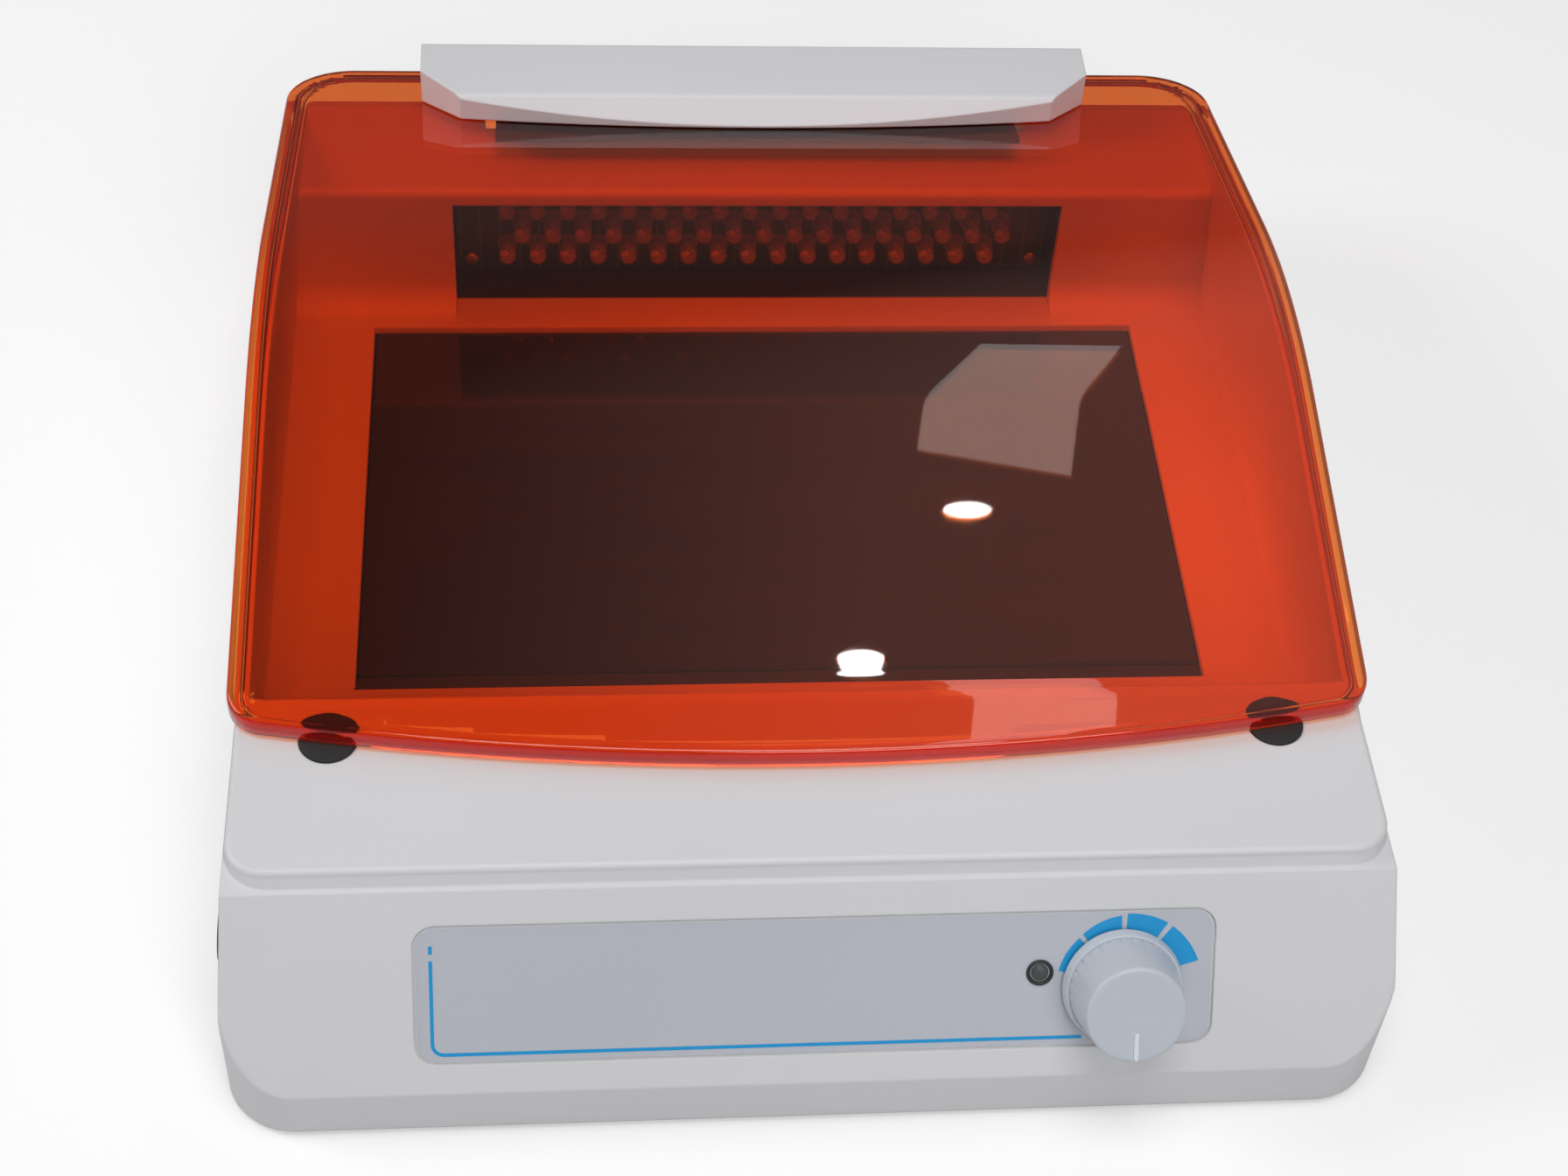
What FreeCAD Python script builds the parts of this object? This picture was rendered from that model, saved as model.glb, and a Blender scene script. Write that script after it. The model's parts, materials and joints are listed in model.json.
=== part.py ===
import FreeCAD, Part
import math
import os

import Sketcher
from FreeCAD import Placement, Rotation, Vector

doc = FreeCAD.newDocument("transilluminator")
sheet = doc.addObject("Spreadsheet::Sheet", "Sizes")

# Driving sizes in millimetres and degrees. Depths are measured back from the housing's front edge
# and heights up from the housing's bottom edge, unless the note says otherwise.
SIZES = [
    ("body_width", 264, "housing, side to side"),
    ("base_depth", 302, "housing, front to back at the bottom"),
    ("wall", 2.4, "moulded wall"),
    ("foot_height", 2, "rubber feet below the housing"),
    ("front_corner", 16, "plan radius of the front corners"),
    ("rear_corner", 18, "plan radius of the rear corners"),
    ("skirt_height", 13.8, "upright band below the console face"),
    ("face_slope", 56, "console face from the horizontal"),
    ("shelf_above", 4.2, "shelf above the top of the wider lower casing"),
    ("shelf_height", 57.5, "flat shelf behind the console"),
    ("ledge", 0.6, "step between lower casing and shelf block"),
    ("shelf_corner", 9, "plan radius of the shelf's front corners"),
    ("shelf_step", 1.4, "width of the ledge in front of the shelf"),
    ("shelf_rise", 2.6, "height of the sloping part of the step up to the shelf"),
    ("shelf_draft", 1.2, "run of the sloping part of the step up to the shelf"),
    ("shelf_round", 1.4, "rounding of the shelf's edge"),
    ("skirt_round", 1, "rounding between console face and skirt"),
    ("side_lean", 2.4, "inward lean of the side walls up to the ledge"),
    ("rear_lean", 5, "forward lean of the rear wall"),
    ("fold_depth", 73, "where shelf and cover lip end and the arch starts"),
    ("tray_behind", 3, "front of the sample tray, behind the fold"),
    ("rear_zone", 45, "back wall of the sample tray, ahead of the housing's rear"),
    ("floor_height", 13.6, "tray floor"),
    ("deck_below", 5, "deck behind the tray, below the shelf"),
    ("cove", 8, "hollow radius between tray floor and back wall"),
    ("lip_above", 6.4, "top of the cover's flat front lip, above the shelf"),
    ("arch_rise", 20.5, "meeting of the cover's two slopes, above the lip"),
    ("apex_ahead", 116, "meeting of the cover's two slopes, ahead of the housing's rear"),
    ("rear_drop", 9.7, "top of the cover's rear edge, below the lip"),
    ("cover_over", 9, "rear edge of the cover, behind the housing's rear"),
    ("cover_crown", 160, "radius of the cover's crown"),
    ("cover_inset", 1.5, "cover inside the housing's width, each side"),
    ("cover_sheet", 3, "thickness of the amber sheet"),
    ("rim_height", 5.4, "turned-down rim"),
    ("rim_gap", 0.5, "rim above the side walls"),
    ("lip_side", 7, "front edge of the lip at its ends, ahead of the fold"),
    ("lip_middle", 18.5, "front edge of the lip in the middle, ahead of the fold"),
    ("bumper_side", 24, "bumper from the housing's side"),
    ("bumper_ahead", 7.5, "bumper, ahead of the fold"),
    ("bumper_bore", 13, "bumper diameter"),
    ("bumper_seat", 2, "depth of the bumper's pocket"),
    ("panel_width", 178, "label panel"),
    ("panel_low", 6.9, "lower edge of the panel, up the console face"),
    ("panel_high", 39.5, "upper edge of the panel, up the console face"),
    ("panel_corner", 5, "corner radius of the panel"),
    ("panel_sink", 0.9, "depth of the panel's recess"),
    ("panel_sheet", 0.5, "thickness of the label panel"),
    ("knob_x", 68, "dimmer knob from the centre line"),
    ("knob_up", 21.6, "dimmer knob, up the console face"),
    ("knob_skirt", 28.4, "diameter of the knob's skirt"),
    ("knob_cap", 22.4, "diameter of the knob's cap"),
    ("knob_tall", 17.8, "knob above the console face"),
    ("lamp_x", 49.4, "indicator from the centre line"),
    ("lamp_up", 25, "indicator, up the console face"),
    ("lamp_bore", 5.6, "diameter of the indicator's hole"),
    ("window_width", 169, "light window"),
    ("window_below", 4.8, "top of the light window, below the deck"),
    ("led_count", 17, "LEDs in a row"),
    ("led_pitch", 8.5, "LED spacing along a row"),
    ("led_rise", 7.4, "spacing of the rows"),
    ("led_low", 10, "lowest row of LEDs, above the tray floor"),
    ("led_across", 5, "LED diameter"),
    ("led_long", 8.6, "LED length"),
    ("board_behind", 14, "front of the LED board, behind the tray's back wall"),
    ("board_sheet", 1.6, "circuit boards"),
    ("stage_side", 25.2, "glass stage from the housing's side"),
    ("stage_behind_front", 45.6, "front edge of the glass stage, behind the tray's front"),
    ("stage_behind", 10, "rear edge of the glass stage, ahead of the tray's back wall"),
    ("stage_glass", 4, "thickness of the glass"),
    ("stage_sink", 1.6, "glass below the tray floor"),
    ("stage_step", 9.1, "opening in the floor, ahead of the glass stage"),
    ("bar_width", 186, "hinge bar"),
    ("bar_long", 28, "front edge of the hinge bar in the middle, ahead of its rear"),
    ("bar_short", 23, "front edge of the hinge bar beside its cut corners, ahead of its rear"),
    ("bar_over", 0, "rear edge of the hinge bar, behind the housing's rear"),
    ("bar_above", 15.8, "top of the hinge bar, above the cover's rear edge"),
    ("bar_cut", 11, "cut corners of the hinge bar"),
    ("hinge_ahead", 1, "hinge axis, ahead of the housing's rear"),
    ("hinge_below", 3.7, "hinge axis, below the cover's rear edge"),
    ("hinge_pin", 4, "diameter of the hinge pin"),
    ("knuckle", 9.6, "diameter of the hinge knuckles"),
    ("well_width", 152, "hinge well in the deck"),
    ("well_deep", 18, "front edge of the hinge well, ahead of the housing's rear"),
    ("well_below", 9, "floor of the hinge well, below the hinge axis"),
    ("ear_x", 45, "hinge bracket from the centre line"),
    ("ear_wide", 9, "width of a hinge bracket's ear"),
    ("switch_depth", 38, "power switch in the left side"),
    ("switch_height", 23, "power switch in the left side"),
    ("switch_rim", 17, "diameter of the switch's rim"),
    ("inlet_side", 28, "power inlet from the housing's side"),
    ("inlet_height", 24, "power inlet"),
    ("inlet_bore", 5.5, "bore of the power inlet"),
    ("fit_gap", 0.3, "gap between fitted pieces"),
]


class Dim:
    """A length or angle that knows its value and the sheet formula that gives it."""

    def __init__(self, value, text=None):
        self.value = float(value)
        self.text = text if text else "%.6g" % value

    def __add__(self, other):
        other = dim(other)
        return Dim(self.value + other.value, "(%s + %s)" % (self.text, other.text))

    def __radd__(self, other):
        return dim(other) + self

    def __sub__(self, other):
        other = dim(other)
        return Dim(self.value - other.value, "(%s - %s)" % (self.text, other.text))

    def __rsub__(self, other):
        return dim(other) - self

    def __mul__(self, other):
        other = dim(other)
        return Dim(self.value * other.value, "(%s * %s)" % (self.text, other.text))

    __rmul__ = __mul__

    def __truediv__(self, other):
        other = dim(other)
        return Dim(self.value / other.value, "(%s / %s)" % (self.text, other.text))

    def __neg__(self):
        return Dim(-self.value, "(0 - %s)" % self.text)


def dim(value):
    return value if isinstance(value, Dim) else Dim(value)


def tangent(angle):
    return Dim(math.tan(math.radians(angle.value)), "tan(%s)" % angle.text)


class Sheet:
    """The sheet's sizes by name, as Dims."""


S = Sheet()
for row, (alias, number, note) in enumerate(SIZES, start=1):
    sheet.set("A%d" % row, alias)
    sheet.set("B%d" % row, str(number))
    sheet.set("C%d" % row, note)
    sheet.setAlias("B%d" % row, alias)
    setattr(S, alias, Dim(number, "Sizes." + alias))
doc.recompute()

# Places measured from other sizes, so that they follow when one of them changes.
S.ledge_height = S.shelf_height - S.shelf_above
S.deck_height = S.shelf_height - S.deck_below
S.window_top = S.deck_height - S.window_below
S.cover_lip = S.shelf_height + S.lip_above
S.cover_apex = S.cover_lip + S.arch_rise
S.cover_rear = S.cover_lip - S.rear_drop
S.bar_top = S.cover_rear + S.bar_above
S.hinge_height = S.cover_rear - S.hinge_below
S.well_floor = S.hinge_height - S.well_below
S.tray_front = S.fold_depth + S.tray_behind
S.tray_rear = S.base_depth - S.rear_zone
S.board_depth = S.tray_rear + S.board_behind
S.stage_front = S.tray_front + S.stage_behind_front
S.stage_open = S.stage_front - S.stage_step
S.stage_rear = S.tray_rear - S.stage_behind
S.apex_depth = S.base_depth - S.apex_ahead
S.cover_depth = S.base_depth + S.cover_over
S.lip_end = S.fold_depth - S.lip_side
S.lip_front = S.fold_depth - S.lip_middle
S.bumper_depth = S.fold_depth - S.bumper_ahead
S.bar_rear = S.base_depth + S.bar_over
S.bar_front = S.bar_rear - S.bar_long
S.bar_ends = S.bar_rear - S.bar_short
S.hinge_depth = S.base_depth - S.hinge_ahead
S.well_front = S.base_depth - S.well_deep
S.cover_width = S.body_width - 2 * S.cover_inset
S.stage_width = S.body_width - 2 * S.stage_side
S.bumper_x = S.body_width / 2 - S.bumper_side
S.inlet_x = S.body_width / 2 - S.inlet_side

X_AXIS = Vector(1, 0, 0)
Y_AXIS = Vector(0, 1, 0)
Z_AXIS = Vector(0, 0, 1)
TURN_TO = {
    "XY": Rotation(),
    "YZ": Rotation(Vector(1, 1, 1), 120),
    "XZ": Rotation(X_AXIS, 90),
}
FRONT = -S.base_depth / 2
HALF = S.body_width / 2


def back(depth):
    """Y of a depth behind the housing's front edge."""
    return FRONT + depth


def up(height):
    """Z of a height above the housing's bottom edge."""
    return S.foot_height + height


def bind(obj, prop, size):
    obj.setExpression(prop, dim(size).text)


def place(obj, x=0, y=0, z=0, turn=None):
    """Put an object at x, y, z, each tied to the sheet, turned by a fixed rotation."""
    x, y, z = dim(x), dim(y), dim(z)
    obj.Placement = Placement(Vector(x.value, y.value, z.value), turn or Rotation())
    bind(obj, "Placement.Base.x", x)
    bind(obj, "Placement.Base.y", y)
    bind(obj, "Placement.Base.z", z)
    return obj


def on_face(obj, x=0, rise=0, out=0):
    """Put an object, built flat, on the console face: x across, rise up the slope, out of it."""
    slope = S.face_slope
    cosine = Dim(math.cos(math.radians(slope.value)), "cos(%s)" % slope.text)
    sine = Dim(math.sin(math.radians(slope.value)), "sin(%s)" % slope.text)
    y = back(dim(rise) * cosine - dim(out) * sine)
    z = up(S.skirt_height + dim(rise) * sine + dim(out) * cosine)
    place(obj, x, y, z, Rotation(X_AXIS, slope.value))
    bind(obj, "Placement.Rotation.Angle", slope)
    return obj


def block(name, low, high):
    """A box between two corners."""
    obj = doc.addObject("Part::Box", name)
    low = [dim(v) for v in low]
    high = [dim(v) for v in high]
    for prop, a, b in zip(("Length", "Width", "Height"), low, high):
        bind(obj, prop, b - a)
    return place(obj, *low)


def rod(name, across, long, x=0, y=0, z=0, axis="Z"):
    """A cylinder of a diameter, standing on x, y, z along an axis."""
    obj = doc.addObject("Part::Cylinder", name)
    bind(obj, "Radius", dim(across) / 2)
    bind(obj, "Height", long)
    turn = {"Z": Rotation(), "X": Rotation(Y_AXIS, 90), "Y": Rotation(X_AXIS, -90)}[axis]
    return place(obj, x, y, z, turn)


def screw_hole(name, across, long, x=0, y=0, z=0, axis="Z"):
    """An eight-sided hole for a screw or stem, as a solid to cut with."""
    obj = doc.addObject("Part::Prism", name)
    obj.Polygon = 8
    bind(obj, "Circumradius", dim(across) / 2)
    bind(obj, "Height", long)
    return place(obj, x, y, z, Rotation() if axis == "Z" else Rotation(X_AXIS, -90))


def cut(name, base, *tools):
    tool = tools[0] if len(tools) == 1 else fuse(name + "_tools", *tools)
    obj = doc.addObject("Part::Cut", name)
    obj.Base = base
    obj.Tool = tool
    return obj


def fuse(name, *shapes):
    obj = doc.addObject("Part::MultiFuse", name)
    obj.Shapes = list(shapes)
    obj.Refine = True
    return obj


def common(name, *shapes):
    obj = doc.addObject("Part::MultiCommon", name)
    obj.Shapes = list(shapes)
    return obj


def group(name, shapes):
    obj = doc.addObject("Part::Compound", name)
    obj.Links = list(shapes)
    return obj


def corner_arc(before, corner, after, radius):
    """Tangent points and centre of a rounded corner."""
    to_before = (before - corner).normalize()
    to_after = (after - corner).normalize()
    half = math.acos(max(-1.0, min(1.0, to_before.dot(to_after)))) / 2
    reach = radius / math.tan(half)
    centre = corner + (to_before + to_after).normalize() * (radius / math.sin(half))
    return corner + to_before * reach, corner + to_after * reach, centre


def draw(target, loops):
    """Closed outlines in a sketch. A corner is (u, v) or (u, v, radius).

    A corner may hold a fourth value (u, v): the edge after it is then an arc through that point.
    Every corner's place and radius is tied to the sheet.
    """
    for loop in loops:
        corners = [tuple(c) + (None,) * (4 - len(c)) for c in loop]
        points = [Vector(dim(c[0]).value, dim(c[1]).value, 0) for c in corners]
        count = len(corners)
        starts, ends, arcs, marks = [], [], [], []
        for i, corner in enumerate(corners):
            before, here, after = points[i - 1], points[i], points[(i + 1) % count]
            mark = target.addGeometry(Part.Point(here), True)
            marks.append(mark)
            pin(target, mark, 1, corner[0], corner[1])
            if corner[2] is None:
                starts.append(here)
                ends.append(here)
                arcs.append(None)
                continue
            first, last, centre = corner_arc(before, here, after, dim(corner[2]).value)
            left = (here - before).cross(after - here).z > 0
            one, two = (first, last) if left else (last, first)
            angle_one = math.atan2(one.y - centre.y, one.x - centre.x)
            angle_two = math.atan2(two.y - centre.y, two.x - centre.x)
            circle = Part.Circle(centre, Z_AXIS, dim(corner[2]).value)
            arc = target.addGeometry(Part.ArcOfCircle(circle, angle_one, angle_two), False)
            label = target.addConstraint(Sketcher.Constraint("Radius", arc, dim(corner[2]).value))
            bind(target, "Constraints[%d]" % label, corner[2])
            ends.append(first)
            starts.append(last)
            arcs.append((arc, 1 if left else 2, 2 if left else 1))
        for i, corner in enumerate(corners):
            after = (i + 1) % count
            if corner[3] is None:
                line = target.addGeometry(Part.LineSegment(starts[i], ends[after]), False)
                entry, leave = 1, 2
            else:
                through = Vector(dim(corner[3][0]).value, dim(corner[3][1]).value, 0)
                bow = Part.Arc(starts[i], through, ends[after])
                line = target.addGeometry(bow, False)
                made = target.Geometry[line]
                entry = 1 if made.StartPoint.distanceToPoint(starts[i]) < 1e-6 else 2
                leave = 3 - entry
                middle = target.addGeometry(Part.Point(through), True)
                pin(target, middle, 1, corner[3][0], corner[3][1])
                target.addConstraint(Sketcher.Constraint("PointOnObject", middle, 1, line))
            for where, end in ((i, entry), (after, leave)):
                if arcs[where] is None:
                    target.addConstraint(
                        Sketcher.Constraint("Coincident", line, end, marks[where], 1))
                    continue
                arc, come, go = arcs[where]
                side = go if where == i else come
                target.addConstraint(
                    Sketcher.Constraint("Tangent", line, end, arc, side))
                target.addConstraint(
                    Sketcher.Constraint("PointOnObject", marks[where], 1, line))


def pin(target, geometry, end, u, v):
    """Tie one point of a sketch to the sheet."""
    for kind, size in (("DistanceX", dim(u)), ("DistanceY", dim(v))):
        label = target.addConstraint(
            Sketcher.Constraint(kind, -1, 1, geometry, end, size.value))
        bind(target, "Constraints[%d]" % label, size)


def outline(name, plane, *loops):
    """A free sketch in a main plane: XY seen from above, YZ from the side, XZ from the front."""
    obj = doc.addObject("Sketcher::SketchObject", name)
    obj.Placement = Placement(Vector(), TURN_TO[plane])
    draw(obj, loops)
    return obj


def pulled(name, sketch, length, start=0):
    """A solid pulled from a free sketch along its own normal, from start."""
    obj = doc.addObject("Part::Extrusion", name)
    obj.Base = sketch
    obj.DirMode = "Normal"
    obj.Solid = True
    bind(obj, "LengthFwd", dim(start) + length)
    bind(obj, "LengthRev", -dim(start))
    return obj


def through(name, sketch, width):
    """A solid pulled both ways from a free sketch, width in all."""
    obj = doc.addObject("Part::Extrusion", name)
    obj.Base = sketch
    obj.DirMode = "Normal"
    obj.Solid = True
    obj.Symmetric = True
    bind(obj, "LengthFwd", width)
    return obj


def rounded(half, front, rear, front_radius, rear_radius):
    """Plan of a block about the centre line with rounded corners."""
    return [
        (-half, front, front_radius),
        (half, front, front_radius),
        (half, rear, rear_radius),
        (-half, rear, rear_radius),
    ]


def plane_of(body, role):
    return [f for f in body.Origin.OriginFeatures if f.Role == role][0]


def new_body(name):
    return doc.addObject("PartDesign::Body", name)


def body_sketch(body, name, role, *loops):
    obj = body.newObject("Sketcher::SketchObject", name)
    obj.AttachmentSupport = (plane_of(body, role), [""])
    obj.MapMode = "FlatFace"
    draw(obj, loops)
    return obj


def pad(body, name, sketch, length, both=False, reverse=False):
    obj = body.newObject("PartDesign::Pad", name)
    obj.Profile = sketch
    obj.Midplane = both
    obj.Reversed = reverse
    bind(obj, "Length", length)
    return obj


def turned(name, profile):
    """A body turned about its own Z axis from a half profile of (radius, height) corners."""
    body = new_body(name)
    sketch = body_sketch(body, name + "_profile", "XZ_Plane", profile)
    obj = body.newObject("PartDesign::Revolution", name + "_turn")
    obj.Profile = sketch
    obj.ReferenceAxis = (plane_of(body, "Z_Axis"), [""])
    obj.Angle = 360
    return body


def edges_where(obj, test):
    doc.recompute()
    return ["Edge%d" % (i + 1) for i, e in enumerate(obj.Shape.Edges) if test(e)]


def level_at(edge, height):
    """True for an edge that lies level at a height."""
    box = edge.BoundBox
    return abs(box.ZMin - height) < 0.01 and abs(box.ZMax - height) < 0.01


def soften(body, name, base, edges, radius):
    """Round edges of a body's last feature."""
    obj = body.newObject("PartDesign::Fillet", name)
    obj.Base = (base, edges)
    bind(obj, "Radius", radius)
    return obj


# Upper housing.


FALL = (S.cover_apex - S.cover_rear) / (S.cover_depth - S.apex_depth)


def rear_arch(depth, drop):
    """Height of the cover's rear slope at a depth, lowered by drop."""
    return S.cover_rear - drop + (S.cover_depth - depth) * FALL


def lower_casing():
    """Console, skirt and lower walls, solid: side view, plan and leaning front view in common."""
    drop = S.rim_height + S.rim_gap
    rear = S.base_depth - S.rear_lean
    side = outline("lower_side", "YZ", [
        (back(0), up(0)),
        (back(S.base_depth), up(0)),
        (back(rear), up(rear_arch(rear, drop))),
        (back(S.cover_depth - (S.ledge_height - S.cover_rear + drop) / FALL),
         up(S.ledge_height)),
        (back(console_run(S.ledge_height)), up(S.ledge_height)),
        (back(0), up(S.skirt_height)),
    ])
    plan = outline("lower_plan", "XY", rounded(
        HALF, back(0), back(S.base_depth), S.front_corner, S.rear_corner))
    face = outline("lower_front", "XZ", [
        (-HALF, up(0)),
        (HALF, up(0)),
        (HALF, up(S.skirt_height)),
        (HALF - S.side_lean, up(S.ledge_height)),
        (-HALF + S.side_lean, up(S.ledge_height)),
        (-HALF, up(S.skirt_height)),
    ])
    return common(
        "lower_casing",
        through("lower_side_solid", side, S.body_width),
        pulled("lower_plan_solid", plan, up(S.ledge_height)),
        through("lower_front_solid", face, S.base_depth),
    )


def console_run(height):
    """Depth at which the console face reaches a height."""
    return (height - S.skirt_height) / tangent(S.face_slope)


def upper_casing():
    """Shelf block and arched side walls, solid, its front stepping back up to the shelf."""
    foot = HALF - S.side_lean - S.ledge / 2
    half = HALF - S.side_lean - S.ledge
    front = console_run(S.ledge_height) + S.shelf_step
    rear = S.base_depth - S.rear_lean
    drop = S.rim_height + S.rim_gap
    side = outline("upper_side", "YZ", [
        (back(front), up(S.ledge_height - S.wall)),
        (back(rear), up(S.ledge_height - S.wall)),
        (back(rear), up(rear_arch(rear, drop))),
        (back(S.apex_depth), up(S.cover_apex - drop), S.cover_crown),
        (back(S.fold_depth), up(S.shelf_height)),
        (back(front), up(S.shelf_height)),
    ])
    plans = []
    for number, (inset, height, width, corner) in enumerate((
            (Dim(0), S.ledge_height - S.wall, foot, S.shelf_corner + S.shelf_draft),
            (Dim(0), S.ledge_height, foot, S.shelf_corner + S.shelf_draft),
            (S.shelf_draft, S.ledge_height + S.shelf_rise, half, S.shelf_corner),
            (S.shelf_draft, S.cover_apex, half, S.shelf_corner))):
        plan = outline("upper_plan_%d" % number, "XY", rounded(
            width, back(front + inset), back(rear), corner, S.rear_corner))
        plans.append(place(plan, 0, 0, up(height)))
    block_up = doc.addObject("Part::Loft", "upper_plan_solid")
    block_up.Sections = plans
    block_up.Solid = True
    block_up.Ruled = True
    return common("upper_casing", through("upper_side_solid", side, foot * 2), block_up)


def leaning(name, inside, low, high):
    """Front view of the room between the leaning side walls, from low up to high."""
    return outline(name, "XZ", [
        (-HALF + inside, low),
        (HALF - inside, low),
        (HALF - inside, up(S.skirt_height)),
        (HALF - inside - S.side_lean, up(S.ledge_height)),
        (HALF - inside - S.side_lean, high),
        (-HALF + inside + S.side_lean, high),
        (-HALF + inside + S.side_lean, up(S.ledge_height)),
        (-HALF + inside, up(S.skirt_height)),
    ])


def tray_room():
    """The open tray and the space over the deck, cut from above."""
    top = up(S.cover_apex + S.wall)
    rear = S.base_depth - S.rear_lean - S.wall
    side = outline("tray_side", "YZ", [
        (back(S.tray_front), up(S.floor_height), S.wall),
        (back(S.tray_rear), up(S.floor_height), S.cove),
        (back(S.tray_rear), up(S.deck_height), S.wall),
        (back(rear), up(S.deck_height)),
        (back(rear), top),
        (back(S.tray_front), top),
    ])
    inside = S.wall + S.ledge
    front = leaning("tray_front_view", inside, up(0), top)
    return common(
        "tray_room",
        through("tray_side_solid", side, S.body_width),
        through("tray_front_solid", front, S.base_depth),
    )


def inner_room():
    """The hollow under the console, the tray floor and the deck, open at the bottom."""
    top = S.ledge_height - S.wall
    corner = console_run(top) + S.wall * 1.2
    below = -S.foot_height - S.wall
    side = outline("inner_side", "YZ", [
        (back(S.wall), up(below)),
        (back(S.base_depth - S.wall), up(below)),
        (back(S.base_depth - S.wall), up(S.wall * 2)),
        (back(S.base_depth - S.wall - S.rear_lean), up(S.deck_height - S.wall)),
        (back(S.tray_rear + S.wall), up(S.deck_height - S.wall)),
        (back(S.tray_rear + S.wall), up(S.floor_height - S.wall)),
        (back(S.tray_front - S.wall), up(S.floor_height - S.wall)),
        (back(S.tray_front - S.wall), up(top)),
        (back(corner), up(top)),
        (back(S.wall), up(S.skirt_height - S.wall / 2)),
    ])
    plan = outline("inner_plan", "XY", rounded(
        HALF - S.wall, back(S.wall), back(S.base_depth - S.wall),
        S.front_corner - S.wall, S.rear_corner - S.wall))
    front = leaning("inner_front_view", S.wall, up(below), up(S.shelf_height))
    return common(
        "inner_room",
        through("inner_side_solid", side, S.body_width),
        pulled("inner_plan_solid", plan, up(S.cover_apex) + S.wall * 4, -S.wall * 4),
        through("inner_front_solid", front, S.base_depth),
    )


def shelf_room():
    """The rest of the hollow, up under the shelf, following the shelf's own outline."""
    front = console_run(S.ledge_height) + S.shelf_step + S.shelf_draft + S.wall
    plan = outline("shelf_room_plan", "XY", rounded(
        HALF - S.side_lean - S.ledge - S.wall, back(front), back(S.tray_front - S.wall),
        S.shelf_corner - S.wall, None))
    return pulled("shelf_room", plan, S.shelf_height - S.ledge_height + S.wall,
                  up(S.ledge_height - S.wall * 2))


def well_room(name, grow, front, floor, rear):
    """Room of the hinge well, or of its walls when grown."""
    half = S.well_width / 2 + grow
    return block(
        name,
        (-half, back(front), up(floor)),
        (half, back(rear), up(S.cover_apex)),
    )


def boss_places():
    """Plan places of the six base screws: console, under the tray's ends, rear corners."""
    side = HALF - S.front_corner
    return [
        (-side, S.front_corner),
        (side, S.front_corner),
        (-side, S.tray_front - S.front_corner),
        (side, S.tray_front - S.front_corner),
        (-side, S.base_depth - S.rear_corner),
        (side, S.base_depth - S.rear_corner),
    ]


BOSS = Dim(8)
PILOT = Dim(2.6)
SCREW_HEAD = Dim(6)
SCREW_SHANK = Dim(2.4)
CLAMP_END = Dim(8.5)


def soft_casing():
    """The whole outer form of the housing, its moulded edges rounded."""
    solid = fuse("casing", lower_casing(), upper_casing())
    body = new_body("casing_body")
    body.BaseFeature = solid
    doc.recompute()
    shelf = up(S.shelf_height).value
    skirt = up(S.skirt_height).value
    fold = back(S.fold_depth).value
    last = body.Tip
    rim = edges_where(last, lambda e: level_at(e, shelf) and e.BoundBox.YMin < fold - 1)
    last = soften(body, "shelf_edge", last, rim, S.shelf_round)
    low = edges_where(last, lambda e: level_at(e, skirt) and e.BoundBox.YMin < FRONT.value + 1)
    soften(body, "skirt_edge", last, low, S.skirt_round)
    return body


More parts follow.
